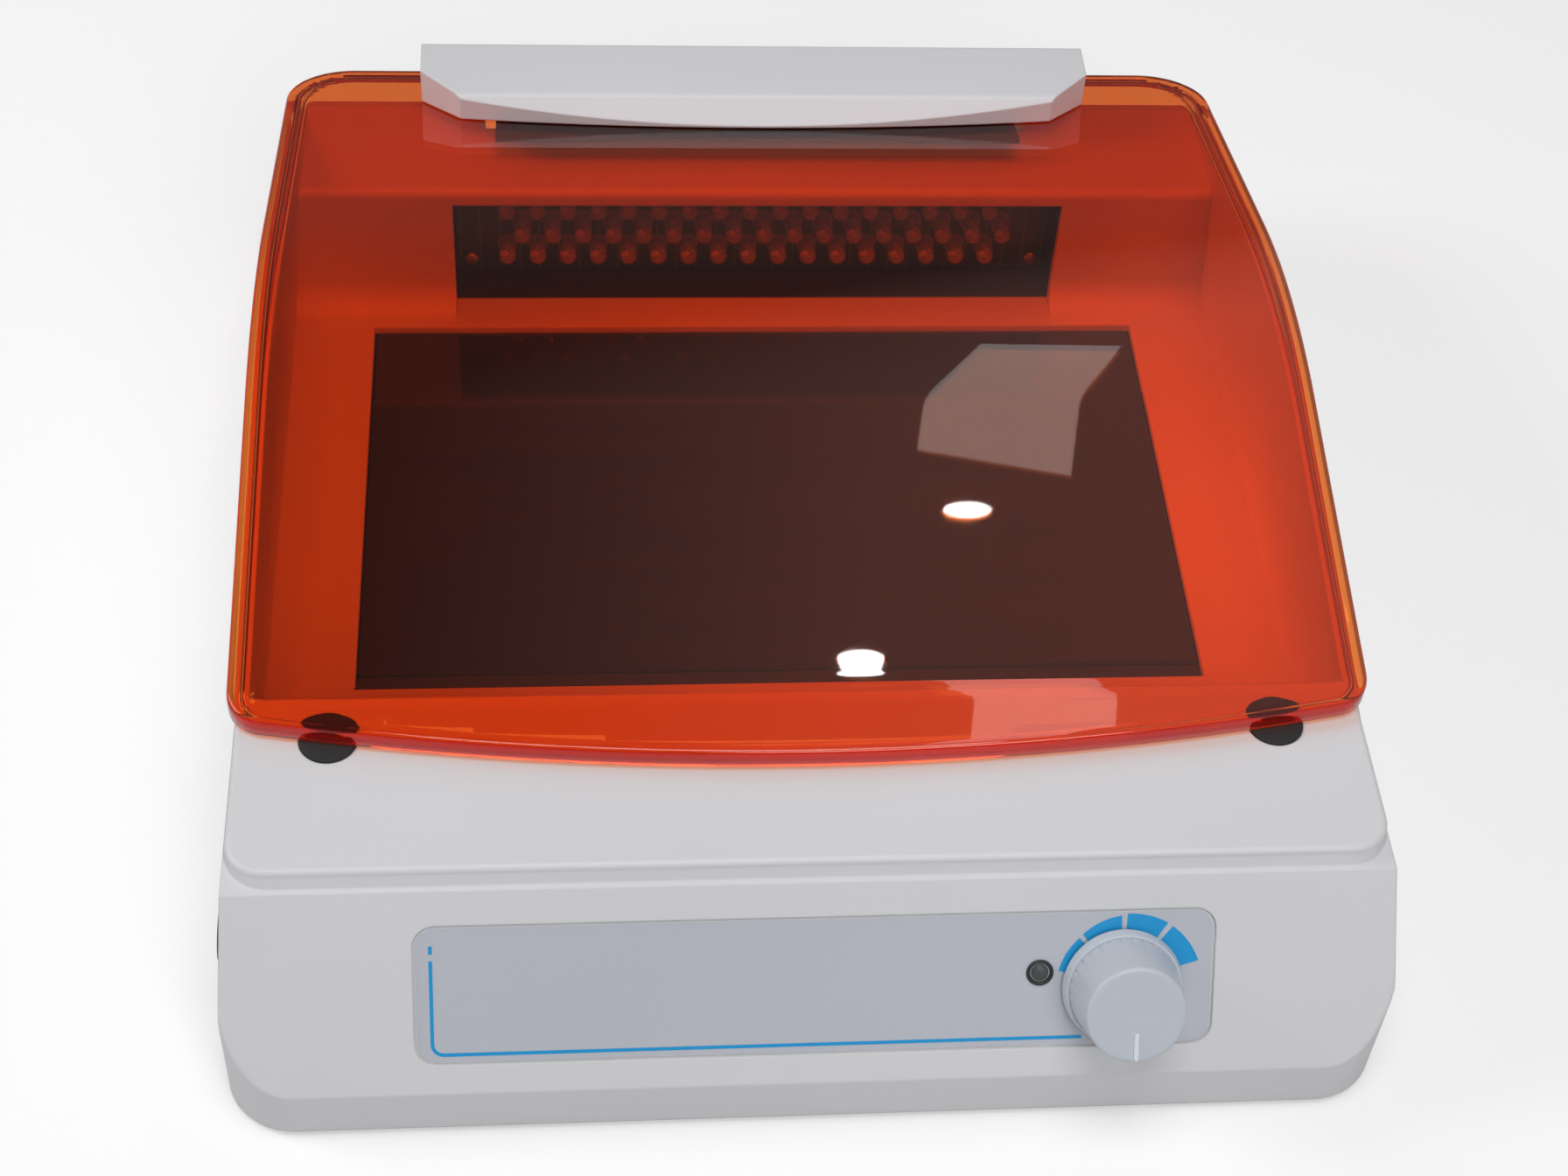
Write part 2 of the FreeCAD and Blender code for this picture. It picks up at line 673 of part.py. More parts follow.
def upper_housing():
    solid = soft_casing()
    tray = tray_room()
    shell = cut("casing_shell", solid, tray, inner_room(), shelf_room())
    well_walls = common(
        "well_walls",
        solid,
        block(
            "well_block",
            (-S.well_width / 2 - S.wall, back(S.well_front - S.wall), up(S.well_floor - S.wall)),
            (S.well_width / 2 + S.wall, back(S.base_depth), up(S.deck_height)),
        ),
    )
    posts = []
    for number, (x, depth) in enumerate(boss_places()):
        posts.append(rod("boss_%d" % number, BOSS, up(S.cover_apex) - up(S.wall + S.fit_gap),
                         x, back(depth), up(S.wall + S.fit_gap)))
    bosses = common("bosses", solid, fuse("boss_rods", *posts))
    bosses = cut("bosses_below_shelf", bosses, tray)
    whole = fuse("casing_with_bosses", shell, well_walls, bosses)
    half = S.window_width / 2
    window = block(
        "window_cut",
        (-half, back(S.tray_rear - S.cove), up(S.floor_height)),
        (half, back(S.tray_rear + S.wall * 2), up(S.window_top)),
    )
    stage = block(
        "stage_cut",
        (-S.stage_width / 2 - S.fit_gap, back(S.stage_open), up(S.floor_height - S.wall * 2)),
        (S.stage_width / 2 + S.fit_gap, back(S.stage_rear + S.fit_gap), up(S.floor_height + S.wall)),
    )
    well = well_room("well_cut", Dim(0), S.well_front, S.well_floor, S.base_depth)
    recess = panel_solid("panel_recess", S.panel_sink * 3, 0)
    on_face(recess, 0, 0, -S.panel_sink)
    knob_hole = on_face(rod("knob_hole", 9.6, S.wall * 6), S.knob_x, S.knob_up, -S.wall * 4)
    lamp_hole = on_face(rod("lamp_hole", S.lamp_bore, S.wall * 6), S.lamp_x, S.lamp_up,
                        -S.wall * 4)
    switch = lean_on_side(rod("switch_hole", S.switch_rim - 2.4, S.wall * 5), S.switch_depth,
                          S.switch_height, -S.wall * 3)
    inlet = lean_on_rear(rod("inlet_hole", 11.2, S.wall * 6), S.inlet_x, S.inlet_height,
                         -S.wall * 3)
    cups = []
    for side in (-1, 1):
        cups.append(rod("bumper_cup_%d" % side, S.bumper_bore + S.fit_gap, S.bumper_seat * 3,
                        S.bumper_x * side, back(S.bumper_depth),
                        up(S.shelf_height - S.bumper_seat)))
    pilots = []
    for number, (x, depth) in enumerate(boss_places()):
        pilots.append(screw_hole("pilot_%d" % number, PILOT, S.floor_height - S.wall, x, back(depth),
                          up(0)))
    for number, x in enumerate(stage_screw_places()):
        pilots.append(screw_hole("pan_pilot_%d" % number, PILOT, S.wall * 0.8, x[0], back(x[1]),
                          up(S.floor_height - S.wall)))
    for number, x in enumerate(bracket_screw_places()):
        pilots.append(screw_hole("well_pilot_%d" % number, PILOT, S.wall * 2, x[0], back(x[1]),
                          up(S.well_floor - S.wall * 2)))
    slots = vent_slots("rear_vent", 9, Dim(7), Dim(3), S.base_depth - S.wall * 4, S.wall * 8)
    return cut("upper_housing", whole, window, stage, well, recess, knob_hole, lamp_hole,
               switch, inlet, *cups, *pilots, *slots)


def vent_slots(name, count, pitch, wide, depth, long):
    """Upright ventilation slots through the rear wall, about the centre line."""
    made = []
    for number in range(count):
        x = pitch * (number - (count - 1) / 2)
        made.append(block(
            "%s_%d" % (name, number),
            (x - wide / 2, back(depth), up(S.skirt_height)),
            (x + wide / 2, back(depth + long), up(S.skirt_height * 2.2)),
        ))
    return made


def base_plate():
    """Flat plate inside the bottom edge, with vents under the lamp and room for the feet."""
    plan = outline("base_plan", "XY", rounded(
        HALF - S.wall - S.fit_gap, back(S.wall + S.fit_gap),
        back(S.base_depth - S.wall - S.fit_gap),
        S.front_corner - S.wall - S.fit_gap, S.rear_corner - S.wall - S.fit_gap))
    plate = pulled("base_sheet", plan, S.wall, up(0))
    holes = []
    for number, (x, depth) in enumerate(boss_places()):
        holes.append(screw_hole("base_hole_%d" % number, SCREW_SHANK + 2 * S.fit_gap, S.wall * 2, x,
                         back(depth), up(-S.wall / 2)))
        holes.append(rod("base_sink_%d" % number, SCREW_HEAD + 2 * S.fit_gap, S.wall, x,
                         back(depth), up(-S.wall / 2)))
    for number, (x, depth) in enumerate(foot_places()):
        holes.append(screw_hole("foot_hole_%d" % number, 6 + 2 * S.fit_gap, S.wall * 2, x,
                                back(depth), up(-S.wall / 2)))
    for number in range(11):
        x = Dim(9) * (number - 5)
        holes.append(block("base_vent_%d" % number, (x - 1.5, back(S.tray_rear + 4), up(-S.wall)),
                           (x + 1.5, back(S.base_depth - 14), up(S.wall * 2))))
    return cut("base_plate", plate, *holes)


def foot_places():
    side = HALF - 34
    return [(-side, Dim(26)), (side, Dim(26)), (-side, S.base_depth - 26),
            (side, S.base_depth - 26)]


def rubber_feet():
    """Four round feet, each with a stem pressed up through the base plate."""
    feet = []
    for number, (x, depth) in enumerate(foot_places()):
        foot = turned("foot_%d" % number, [
            (Dim(0), Dim(0)),
            (Dim(6), Dim(0)),
            (Dim(6.8), S.foot_height - S.fit_gap / 2),
            (Dim(0), S.foot_height - S.fit_gap / 2),
        ])
        stem = prism("foot_stem_%d" % number, 8, 6, S.foot_height + S.wall, 1)
        feet.append(place(fuse("foot_and_stem_%d" % number, foot, stem), x, back(depth), 0))
    return group("rubber_feet", feet)


def prism(name, sides, across, long, z=0):
    """An upright prism of a number of sides, within a circle of a diameter."""
    obj = doc.addObject("Part::Prism", name)
    obj.Polygon = sides
    bind(obj, "Circumradius", dim(across) / 2)
    bind(obj, "Height", long)
    return place(obj, 0, 0, z)


def screw(name, head, head_tall, shank, long):
    """Screw along Z: its head below zero, its shank up."""
    cap = prism(name + "_head", 8, head, head_tall, -dim(head_tall))
    stem = prism(name + "_shank", 6, shank, dim(long) + 0.5, -0.5)
    return fuse(name, cap, stem)


def base_screws():
    made = []
    for number, (x, depth) in enumerate(boss_places()):
        made.append(place(screw("base_screw_%d" % number, SCREW_HEAD, S.wall / 2 - 0.1,
                                SCREW_SHANK, S.floor_height - S.wall * 2),
                          x, back(depth), up(S.wall / 2)))
    return group("base_screws", made)


# Sample stage.


def stage_plate():
    """Dark glass plate lying in the floor opening, its top edges ground."""
    body = new_body("stage_plate")
    half = S.stage_width / 2
    sketch = body_sketch(body, "stage_outline", "XY_Plane", rounded(
        half, back(S.stage_front), back(S.stage_rear), Dim(1), Dim(1)))
    slab = pad(body, "stage_slab", sketch, S.stage_glass)
    top = edges_where(slab, lambda e: e.BoundBox.ZMin > S.stage_glass.value - 1e-4)
    bevel = body.newObject("PartDesign::Chamfer", "stage_bevel")
    bevel.Base = (slab, top)
    bevel.Size = 0.6
    return place(body, 0, 0, up(S.floor_height - S.stage_sink - S.stage_glass))


def stage_screw_places():
    side = S.stage_width / 2 + 5
    return [(-side, S.stage_front), (side, S.stage_front), (-side, S.stage_rear - 20),
            (side, S.stage_rear - 20)]


def stage_frame():
    """Black pan under the tray floor that carries the glass, with a step in front of it."""
    top = S.floor_height - S.wall - S.fit_gap / 2
    bed = S.floor_height - S.stage_sink - S.stage_glass
    side = S.stage_width / 2 + 9
    pan = block("pan_block", (-side, back(S.stage_open - 5), up(bed - 2.4)),
                (side, back(S.stage_rear + 6), up(top)))
    room = block("pan_room", (-S.stage_width / 2 - S.fit_gap, back(S.stage_front - S.fit_gap),
                              up(bed)),
                 (S.stage_width / 2 + S.fit_gap, back(S.stage_rear + S.fit_gap), up(S.floor_height)))
    step = block("pan_step", (-S.stage_width / 2, back(S.stage_open + S.fit_gap), up(bed)),
                 (S.stage_width / 2, back(S.stage_front - S.fit_gap),
                  up(S.floor_height - S.stage_sink - 0.8)))
    lift = block("pan_window", (-S.stage_width / 2 + 12, back(S.stage_front + 12), up(bed - 4)),
                 (S.stage_width / 2 - 12, back(S.stage_rear - 12), up(bed - 1.2)))
    holes = []
    for number, place_of in enumerate(stage_screw_places()):
        holes.append(screw_hole("pan_hole_%d" % number, SCREW_SHANK + 2 * S.fit_gap, S.floor_height,
                         place_of[0], back(place_of[1]), up(0)))
    return cut("stage_frame", fuse("pan_solid", cut("pan_shell", pan, room), step), lift, *holes)


def stage_screws():
    made = []
    bed = S.floor_height - S.stage_sink - S.stage_glass
    for number, place_of in enumerate(stage_screw_places()):
        made.append(place(screw("pan_screw_%d" % number, Dim(4.6), Dim(1.4), SCREW_SHANK,
                                S.floor_height - S.wall - bed + 2.4 + S.wall * 0.6),
                          place_of[0], back(place_of[1]), up(bed - 2.4)))
    return group("stage_screws", made)


# Light source.


def led_chamber():
    """Black box behind the window, open to the front, with a slot for the board."""
    half = S.window_width / 2
    skin = S.wall / 2
    front = S.tray_rear + S.wall + S.fit_gap
    rear = S.board_depth + S.board_sheet + 0.2
    outside = block("chamber_block", (-half - skin, back(front), up(S.floor_height - skin)),
                    (half + skin, back(rear), up(S.window_top + skin)))
    inside = block("chamber_room", (-half, back(front - 1), up(S.floor_height)),
                   (half, back(rear + 1), up(S.window_top)))
    return cut("led_chamber", outside, inside)


def led_board():
    half = S.window_width / 2 - S.fit_gap
    board = block("board_sheet_block", (-half, back(S.board_depth), up(S.floor_height + 1)),
                  (half, back(S.board_depth + S.board_sheet), up(S.window_top - 1)))
    holes = []
    for number, (x, z) in enumerate(board_screw_places()):
        holes.append(screw_hole("board_hole_%d" % number, SCREW_SHANK + 2 * S.fit_gap, 6, x,
                         back(S.board_depth - 2), up(z), "Y"))
    return cut("led_board", board, *holes)


def board_screw_places():
    side = S.window_width / 2 - 4
    return [(-side, S.floor_height + 5), (side, S.floor_height + 5),
            (-side, S.window_top - 6), (side, S.window_top - 6)]


def ring(sides, radius, height):
    """Closed polygon wire about the Y axis, standing height in front of the board."""
    points = []
    for number in range(sides + 1):
        angle = 2 * math.pi * number / sides
        points.append(Vector(radius * math.cos(angle), -height, radius * math.sin(angle)))
    return Part.makePolygon(points)


def led_array():
    """Rows of round-nosed LEDs against the board, as many as fit the window (three here), each
    second row half a pitch along."""
    radius = S.led_across.value / 2
    length = S.led_long.value
    sides = 6
    barrel = [ring(sides, radius, 0), ring(sides, radius, length - radius)]
    nose = [ring(sides, radius, length - radius), ring(sides, radius * 0.45, length)]
    lamp = Part.makeLoft(barrel, True, True).fuse(Part.makeLoft(nose, True, True))
    lamp = lamp.removeSplitter()
    count = int(S.led_count.value)
    room = (S.window_top - S.floor_height - S.led_low).value - radius - 1
    rows = 1 + max(0, int(room / S.led_rise.value))
    shapes = []
    for row in range(rows):
        for column in range(count):
            x = (column + row % 2 / 2 - (count - 0.5) / 2) * S.led_pitch.value
            z = up(S.floor_height + S.led_low).value + row * S.led_rise.value
            copy = lamp.copy()
            copy.translate(Vector(x, back(S.board_depth).value, z))
            shapes.append(copy)
    obj = doc.addObject("Part::Feature", "led_array")
    obj.Shape = Part.makeCompound(shapes)
    return obj


def led_heat_sink():
    """Finned plate behind the LED board."""
    half = S.window_width / 2 - S.fit_gap
    rear = S.board_depth + S.board_sheet
    low, high = S.floor_height + 1, S.window_top - 1
    plate = block("sink_plate", (-half, back(rear), up(low)), (half, back(rear + 2), up(high)))
    fins = []
    for number in range(6):
        z = low + (high - low - 1.4) * number / 5
        fins.append(block("sink_fin_%d" % number, (-half + 8, back(rear + 1.5), up(z)),
                          (half - 8, back(S.well_front - S.wall - S.fit_gap), up(z + 1.4))))
    holes = []
    for number, (x, z) in enumerate(board_screw_places()):
        holes.append(screw_hole("sink_hole_%d" % number, PILOT, 6, x, back(rear - 2), up(z), "Y"))
    return cut("led_heat_sink", fuse("sink_solid", plate, *fins), *holes)


def led_board_screws():
    made = []
    for number, (x, z) in enumerate(board_screw_places()):
        one = screw("board_screw_%d" % number, Dim(4.4), Dim(1.4), SCREW_SHANK,
                    S.board_sheet + 1.8)
        place(one, x, back(S.board_depth), up(z), Rotation(X_AXIS, -90))
        made.append(one)
    return group("led_board_screws", made)


# Console.


def panel_solid(name, thick, gap):
    """Rounded label panel, flat, in the console face's own plane."""
    body = new_body(name)
    half = S.panel_width / 2 - gap
    sketch = body_sketch(body, name + "_outline", "XY_Plane", rounded(
        half, S.panel_low + gap, S.panel_high - gap, S.panel_corner - gap,
        S.panel_corner - gap))
    pad(body, name + "_sheet", sketch, thick)
    return body


def control_overlay():
    sheet_solid = panel_solid("overlay_sheet", S.panel_sheet, S.fit_gap)
    holes = [
        place(rod("overlay_knob_hole", 10, 4), S.knob_x, S.knob_up, -2),
        place(rod("overlay_lamp_hole", S.lamp_bore, 4), S.lamp_x, S.lamp_up, -2),
    ]
    obj = cut("control_overlay", sheet_solid, *holes)
    return on_face(obj, 0, 0, -S.panel_sink)


def indicator_holder():
    """Small bezel clipped in the console face, its rim on the panel."""
    outer = S.lamp_bore / 2
    body = turned("indicator_holder", [
        (outer - 0.9, S.panel_sheet),
        (outer + 0.9, S.panel_sheet),
        (outer + 0.5, S.panel_sheet + 0.9),
        (outer - 0.4, S.panel_sheet + 0.9),
        (outer - 0.9, S.panel_sheet + 0.5),
    ])
    stem = turned("indicator_stem", [
        (outer - 0.9, -S.wall * 2),
        (outer - 0.15, -S.wall * 2),
        (outer - 0.15, S.panel_sheet + 0.2),
        (outer - 0.9, S.panel_sheet + 0.2),
    ])
    body.Label = "indicator_rim"
    whole = fuse("indicator_bezel", body, stem)
    return on_face(whole, S.lamp_x, S.lamp_up, -S.panel_sink)


def indicator_led():
    inner = S.lamp_bore / 2 - 1
    body = turned("indicator_led", [
        (Dim(0), -S.wall * 3),
        (inner, -S.wall * 3),
        (inner, Dim(0)),
        (inner * 0.55, Dim(0.8)),
        (Dim(0), Dim(0.8)),
    ])
    return on_face(body, S.lamp_x, S.lamp_up, -S.panel_sink)


def dimmer_knob():
    """Skirted knob with a notched step and a raised pointer, turned then cut."""
    skirt = S.knob_skirt / 2
    cap = S.knob_cap / 2
    base = Dim(0.9)
    tall = S.knob_tall
    body = turned("dimmer_knob", [
        (Dim(3.1), base + 12),
        (Dim(3.1), base + 2),
        (Dim(9), base + 2),
        (Dim(9.6), base),
        (skirt, base),
        (skirt - 0.6, base + 2.6),
        (skirt - 1.2, base + 2.6),
        (skirt - 1.5, base + 1.8),
        (cap + 1.3, base + 1.8),
        (cap + 0.1, tall - 1),
        (cap - 0.8, tall - 0.2),
        (cap - 2.6, tall),
        (cap - 4, tall - 0.4),
        (Dim(0), tall - 0.4),
        (Dim(0), base + 12),
    ])
    notch = body_sketch(body, "grip_outline", "XY_Plane", [
        (cap + 0.7, Dim(0)),
        (cap + 1.45, Dim(-0.5)),
        (cap + 1.45, Dim(0.5)),
    ])
    bind(notch, "AttachmentOffset.Base.z", base + 1.8)
    doc.recompute()
    grip = body.newObject("PartDesign::Pocket", "grip_notch")
    grip.Profile = notch
    grip.Reversed = True
    bind(grip, "Length", Dim(2.8))
    doc.recompute()
    pattern = body.newObject("PartDesign::PolarPattern", "grip_notches")
    pattern.Originals = [grip]
    pattern.Axis = (plane_of(body, "Z_Axis"), [""])
    pattern.Angle = 360
    pattern.Occurrences = 24
    body.Tip = pattern
    doc.recompute()
    rib = body_sketch(body, "pointer_outline", "XY_Plane", [
        (Dim(-0.5), -cap + 1),
        (Dim(0.5), -cap + 1),
        (Dim(0.5), Dim(-2.6)),
        (Dim(-0.5), Dim(-2.6)),
    ])
    bind(rib, "AttachmentOffset.Base.z", tall - 1)
    pad(body, "pointer", rib, Dim(1.3))
    return on_face(body, S.knob_x, S.knob_up, 0)


def potentiometer_body():
    """Round rotary control under the console face, with its bushing up through the hole."""
    deep = -S.wall - S.panel_sink - 0.4
    body = turned("potentiometer_case", [
        (Dim(3.3), deep - 9),
        (Dim(8), deep - 9),
        (Dim(8), deep),
        (Dim(4.6), deep),
        (Dim(4.6), Dim(1.2)),
        (Dim(3.3), Dim(1.2)),
    ])
    floor = rod("potentiometer_floor", 12, 1.2, 0, 0, deep - 10)
    lugs = []
    for number in range(3):
        lugs.append(block("potentiometer_lug_%d" % number,
                          (Dim(-5.9 + 5 * number), Dim(-13), deep - 7.5),
                          (Dim(-4.1 + 5 * number), Dim(-6.5), deep - 6.7)))
    whole = fuse("potentiometer_body", body, floor, *lugs)
    return on_face(whole, S.knob_x, S.knob_up, 0)


def potentiometer_shaft():
    deep = -S.wall - S.panel_sink - 0.4
    body = turned("potentiometer_shaft", [
        (Dim(0), deep - 8),
        (Dim(3), deep - 8),
        (Dim(3), Dim(12.6)),
        (Dim(2.6), Dim(12.8)),
        (Dim(0), Dim(12.8)),
    ])
    return on_face(body, S.knob_x, S.knob_up, 0)


def potentiometer_nut():
    """Six-sided nut that holds the rotary control to the console face."""
    body = new_body("nut_body")
    across = Dim(6.6)
    points = []
    for number in range(6):
        angle = math.radians(60 * number)
        points.append((across * math.cos(angle), across * math.sin(angle)))
    sketch = body_sketch(body, "nut_outline", "XY_Plane", points)
    pad(body, "nut_block", sketch, Dim(1.8))
    obj = cut("potentiometer_nut", body, rod("nut_bore", 9.3, 6, 0, 0, -2))
    return on_face(obj, S.knob_x, S.knob_up, -S.panel_sink + S.panel_sheet + 0.05)


def driver_board():
    """Circuit board on four standoffs in the console, with its larger components."""
    sheet_solid = block("driver_sheet", (Dim(-70), back(24), up(S.wall + 6)),
                        (Dim(30), back(S.tray_front - 12), up(S.wall + 6 + S.board_sheet)))
    top = up(S.wall + 6 + S.board_sheet)
    tall = [
        block("driver_transformer", (Dim(-60), back(34), top), (Dim(-42), back(52), top + 13)),
        block("driver_coil", (Dim(-30), back(36), top), (Dim(-18), back(48), top + 8)),
        block("driver_plug", (Dim(12), back(50), top), (Dim(26), back(57), top + 7)),
        rod("driver_capacitor_0", 10, 14, -6, back(42), top),
        rod("driver_capacitor_1", 8, 11, 6, back(34), top),
    ]
    holes = []
    for number, (x, depth) in enumerate(driver_places()):
        holes.append(screw_hole("driver_hole_%d" % number, SCREW_SHANK + 2 * S.fit_gap, 30, x,
                         back(depth), up(0)))
    return cut("driver_board", fuse("driver_solid", sheet_solid, *tall), *holes)


def driver_places():
    return [(Dim(-66), Dim(28)), (Dim(26), Dim(28)), (Dim(-66), S.tray_front - 16),
            (Dim(26), S.tray_front - 16)]


def driver_standoffs():
    """Six-sided threaded posts between base plate and board."""
    made = []
    for number, (x, depth) in enumerate(driver_places()):
        post = cut("standoff_%d" % number,
                   prism("standoff_bar_%d" % number, 6, 6, 6),
                   prism("standoff_bore_%d" % number, 8, PILOT, 10, -2))
        made.append(place(post, x, back(depth), up(S.wall)))
    return group("driver_standoffs", made)


def driver_screws():
    made = []
    for number, (x, depth) in enumerate(driver_places()):
        one = screw("driver_screw_%d" % number, Dim(4.6), Dim(1.4), SCREW_SHANK,
                    S.board_sheet + 4)
        place(one, x, back(depth), up(S.wall + 6 + S.board_sheet), Rotation(X_AXIS, 180))
        made.append(one)
    return group("driver_screws", made)


# Power switch and inlet.


def side_at(height):
    """Outer face of the leaning side wall at a height, from the centre line."""
    share = (height - S.skirt_height) / (S.ledge_height - S.skirt_height)
    return HALF - S.side_lean * share


ROCKER_PIN = Dim(1.6)
PIVOT_OUT = Dim(0.5)


def switch_housing():
    """Round rim and case of the power switch, pushed in from the left side."""
    rim = S.switch_rim / 2
    body = turned("switch_case", [
        (rim - 2.4, Dim(2)),
        (rim, Dim(0.5)),
        (rim, Dim(0)),
        (rim - 1.4, Dim(0)),
        (rim - 1.4, Dim(-14)),
        (rim - 2.4, Dim(-14)),
    ])
    floor = rod("switch_floor", S.switch_rim - 2.8, 1.2, 0, 0, -14)
    tabs = []
    for number in range(3):
        tabs.append(block("switch_tab_%d" % number, (Dim(-0.4), Dim(-5.2 + 4.2 * number), Dim(-20)),
                          (Dim(0.4), Dim(-3.2 + 4.2 * number), Dim(-13.5))))
    ears = [
        block("switch_ear_%d" % side, (Dim(-1), Dim(-0.8 + 5.3 * side), Dim(-7)),
              (Dim(1), Dim(0.8 + 5.3 * side), Dim(-4)))
        for side in (-1, 1)
    ]
    whole = fuse("switch_solid", body, floor, *tabs, *ears)
    long = S.switch_rim - 3.2
    bore = rod("rocker_bore", ROCKER_PIN + 0.1, long, -long / 2, 0, PIVOT_OUT, "X")
    obj = cut("switch_housing", whole, bore)
    return lean_on_side(obj, S.switch_depth, S.switch_height)


def power_rocker():
    """Rocker that tilts on two pins across the switch, its crown dished."""
    body = new_body("rocker_body")
    half = S.switch_rim / 2 - 4.3
    sketch = body_sketch(body, "rocker_side", "YZ_Plane", [
        (-half, Dim(1.5), Dim(0.6), (Dim(0), Dim(1.5))),
        (half, Dim(2.5), Dim(0.6)),
        (half - 1.2, Dim(-4)),
        (-half + 1.2, Dim(-4)),
    ])
    pad(body, "rocker_block", sketch, (half - 0.9) * 2, both=True)
    long = S.switch_rim - 3.6
    pins = rod("rocker_pins", ROCKER_PIN, long, -long / 2, 0, PIVOT_OUT, "X")
    return lean_on_side(fuse("power_rocker", body, pins), S.switch_depth, S.switch_height)


def dc_inlet():
    """Round power inlet: flange and threaded barrel through the rear wall, centre pin inside."""
    bore = S.inlet_bore / 2
    body = turned("inlet_barrel", [
        (bore, Dim(2)),
        (Dim(6.6), Dim(2)),
        (Dim(7), Dim(0)),
        (Dim(5.4), Dim(0)),
        (Dim(5.4), Dim(-13)),
        (bore, Dim(-13)),
    ])
    floor = rod("inlet_floor", 10.8, 1.6, 0, 0, -14)
    stem = rod("inlet_stem", 2, 12.5, 0, 0, -13)
    whole = fuse("dc_inlet", body, floor, stem)
    return lean_on_rear(whole, S.inlet_x, S.inlet_height, 0)


def level(share):
    """Cosine of a lean given as run over rise."""
    return Dim(1 / math.sqrt(1 + share.value ** 2), "(1 / sqrt(1 + %s * %s))" % (share.text, share.text))


def lean_on_rear(obj, x, height, out=0):
    """Put an object, built along Z, on the leaning rear wall with Z pointing out of it."""
    share = S.rear_lean / rear_arch(S.base_depth - S.rear_lean, S.rim_height + S.rim_gap)
    lean = math.degrees(math.atan(share.value))
    y = back(S.base_depth - share * height + out * level(share))
    place(obj, x, y, up(height + share * out * level(share)), Rotation(X_AXIS, lean - 90))
    obj.setExpression("Placement.Rotation.Angle", "90 deg - atan(%s)" % share.text)
    obj.setExpression("Placement.Rotation.Axis.x", "-1")
    return obj


def lean_on_side(obj, depth, height, out=0):
    """Put an object, built along Z, on the leaning left wall with Z pointing out of it."""
    share = S.side_lean / (S.ledge_height - S.skirt_height)
    lean = math.degrees(math.atan(share.value))
    x = -side_at(height) - out * level(share)
    place(obj, x, back(depth), up(height + share * out * level(share)),
          Rotation(Y_AXIS, lean - 90))
    obj.setExpression("Placement.Rotation.Angle", "90 deg - atan(%s)" % share.text)
    obj.setExpression("Placement.Rotation.Axis.y", "-1")
    return obj


def inlet_nut():
    body = turned("inlet_nut", [
        (Dim(5.5), Dim(-2.4)),
        (Dim(8), Dim(-2.4)),
        (Dim(8), Dim(0)),
        (Dim(5.5), Dim(0)),
    ])
    return lean_on_rear(body, S.inlet_x, S.inlet_height, -S.wall - S.fit_gap)


# Viewing cover and hinge.


def cover_block(name, drop, inset, low_drop):
    """Arched block: the cover's outer form lowered by drop, drawn in by inset, rim and lip."""
    half = S.cover_width / 2 - inset
    fold = back(S.fold_depth)
    top = up(S.cover_lip - drop)
    foot = up(S.cover_lip - low_drop)
    side = outline(name + "_side", "YZ", [
        (back(S.lip_front - 5), foot),
        (fold, foot),
        (back(S.apex_depth), up(S.cover_apex - low_drop), S.cover_crown),
        (back(S.cover_depth), up(S.cover_rear - low_drop)),
        (back(S.cover_depth), up(S.cover_rear - drop)),
        (back(S.apex_depth), up(S.cover_apex - drop), S.cover_crown),
        (fold, top),
        (back(S.lip_front - 5), top),
    ])
    corner = S.shelf_corner - inset
    rear = S.rear_corner - inset
    plan = outline(name + "_plan", "XY", [
        (-half, back(S.lip_end + inset), corner),
        (-half + S.shelf_corner * 2, back(S.lip_end + inset - 1.4), None,
         (Dim(0), back(S.lip_front + inset))),
        (half - S.shelf_corner * 2, back(S.lip_end + inset - 1.4)),
        (half, back(S.lip_end + inset), corner),
        (half, back(S.cover_depth - inset), rear),
        (-half, back(S.cover_depth - inset), rear),
    ])
    return common(
        name,
        through(name + "_side_solid", side, S.cover_width),
        pulled(name + "_plan_solid", plan, up(S.cover_apex)),
    )


def notch_half():
    return S.well_width / 2 - 1.5


def viewing_cover():
    """Amber sheet: arched, with a turned-down rim and a notch at the rear for the hinge bar."""
    outer = cover_block("cover_outer", Dim(0), Dim(0), S.rim_height)
    inner = cover_block("cover_inner", S.cover_sheet, S.cover_sheet, S.rim_height * 3)
    notch = block("cover_notch", (-notch_half(), back(S.well_front + 3), up(S.well_floor)),
                  (notch_half(), back(S.cover_depth + 2), up(S.cover_apex)))
    holes = []
    for number, (x, depth) in enumerate(clamp_places()):
        holes.append(screw_hole("cover_hole_%d" % number, SCREW_SHANK + 2 * S.fit_gap, 60, x,
                         back(depth), up(S.well_floor)))
    return cut("viewing_cover", outer, inner, notch, *holes)


def clamp_places():
    return [(notch_half() * (x / 74.5), S.well_front - 1.5) for x in (-66, -22, 22, 66)]


def bar_plan(inset):
    half = S.bar_width / 2 - inset
    return [
        (-half, back(S.bar_rear)),
        (-half, back(S.bar_ends + S.bar_cut)),
        (-half + S.bar_cut, back(S.bar_ends + inset), None,
         (Dim(0), back(S.bar_front + inset))),
        (half - S.bar_cut, back(S.bar_ends + inset)),
        (half, back(S.bar_ends + S.bar_cut)),
        (half, back(S.bar_rear)),
    ]


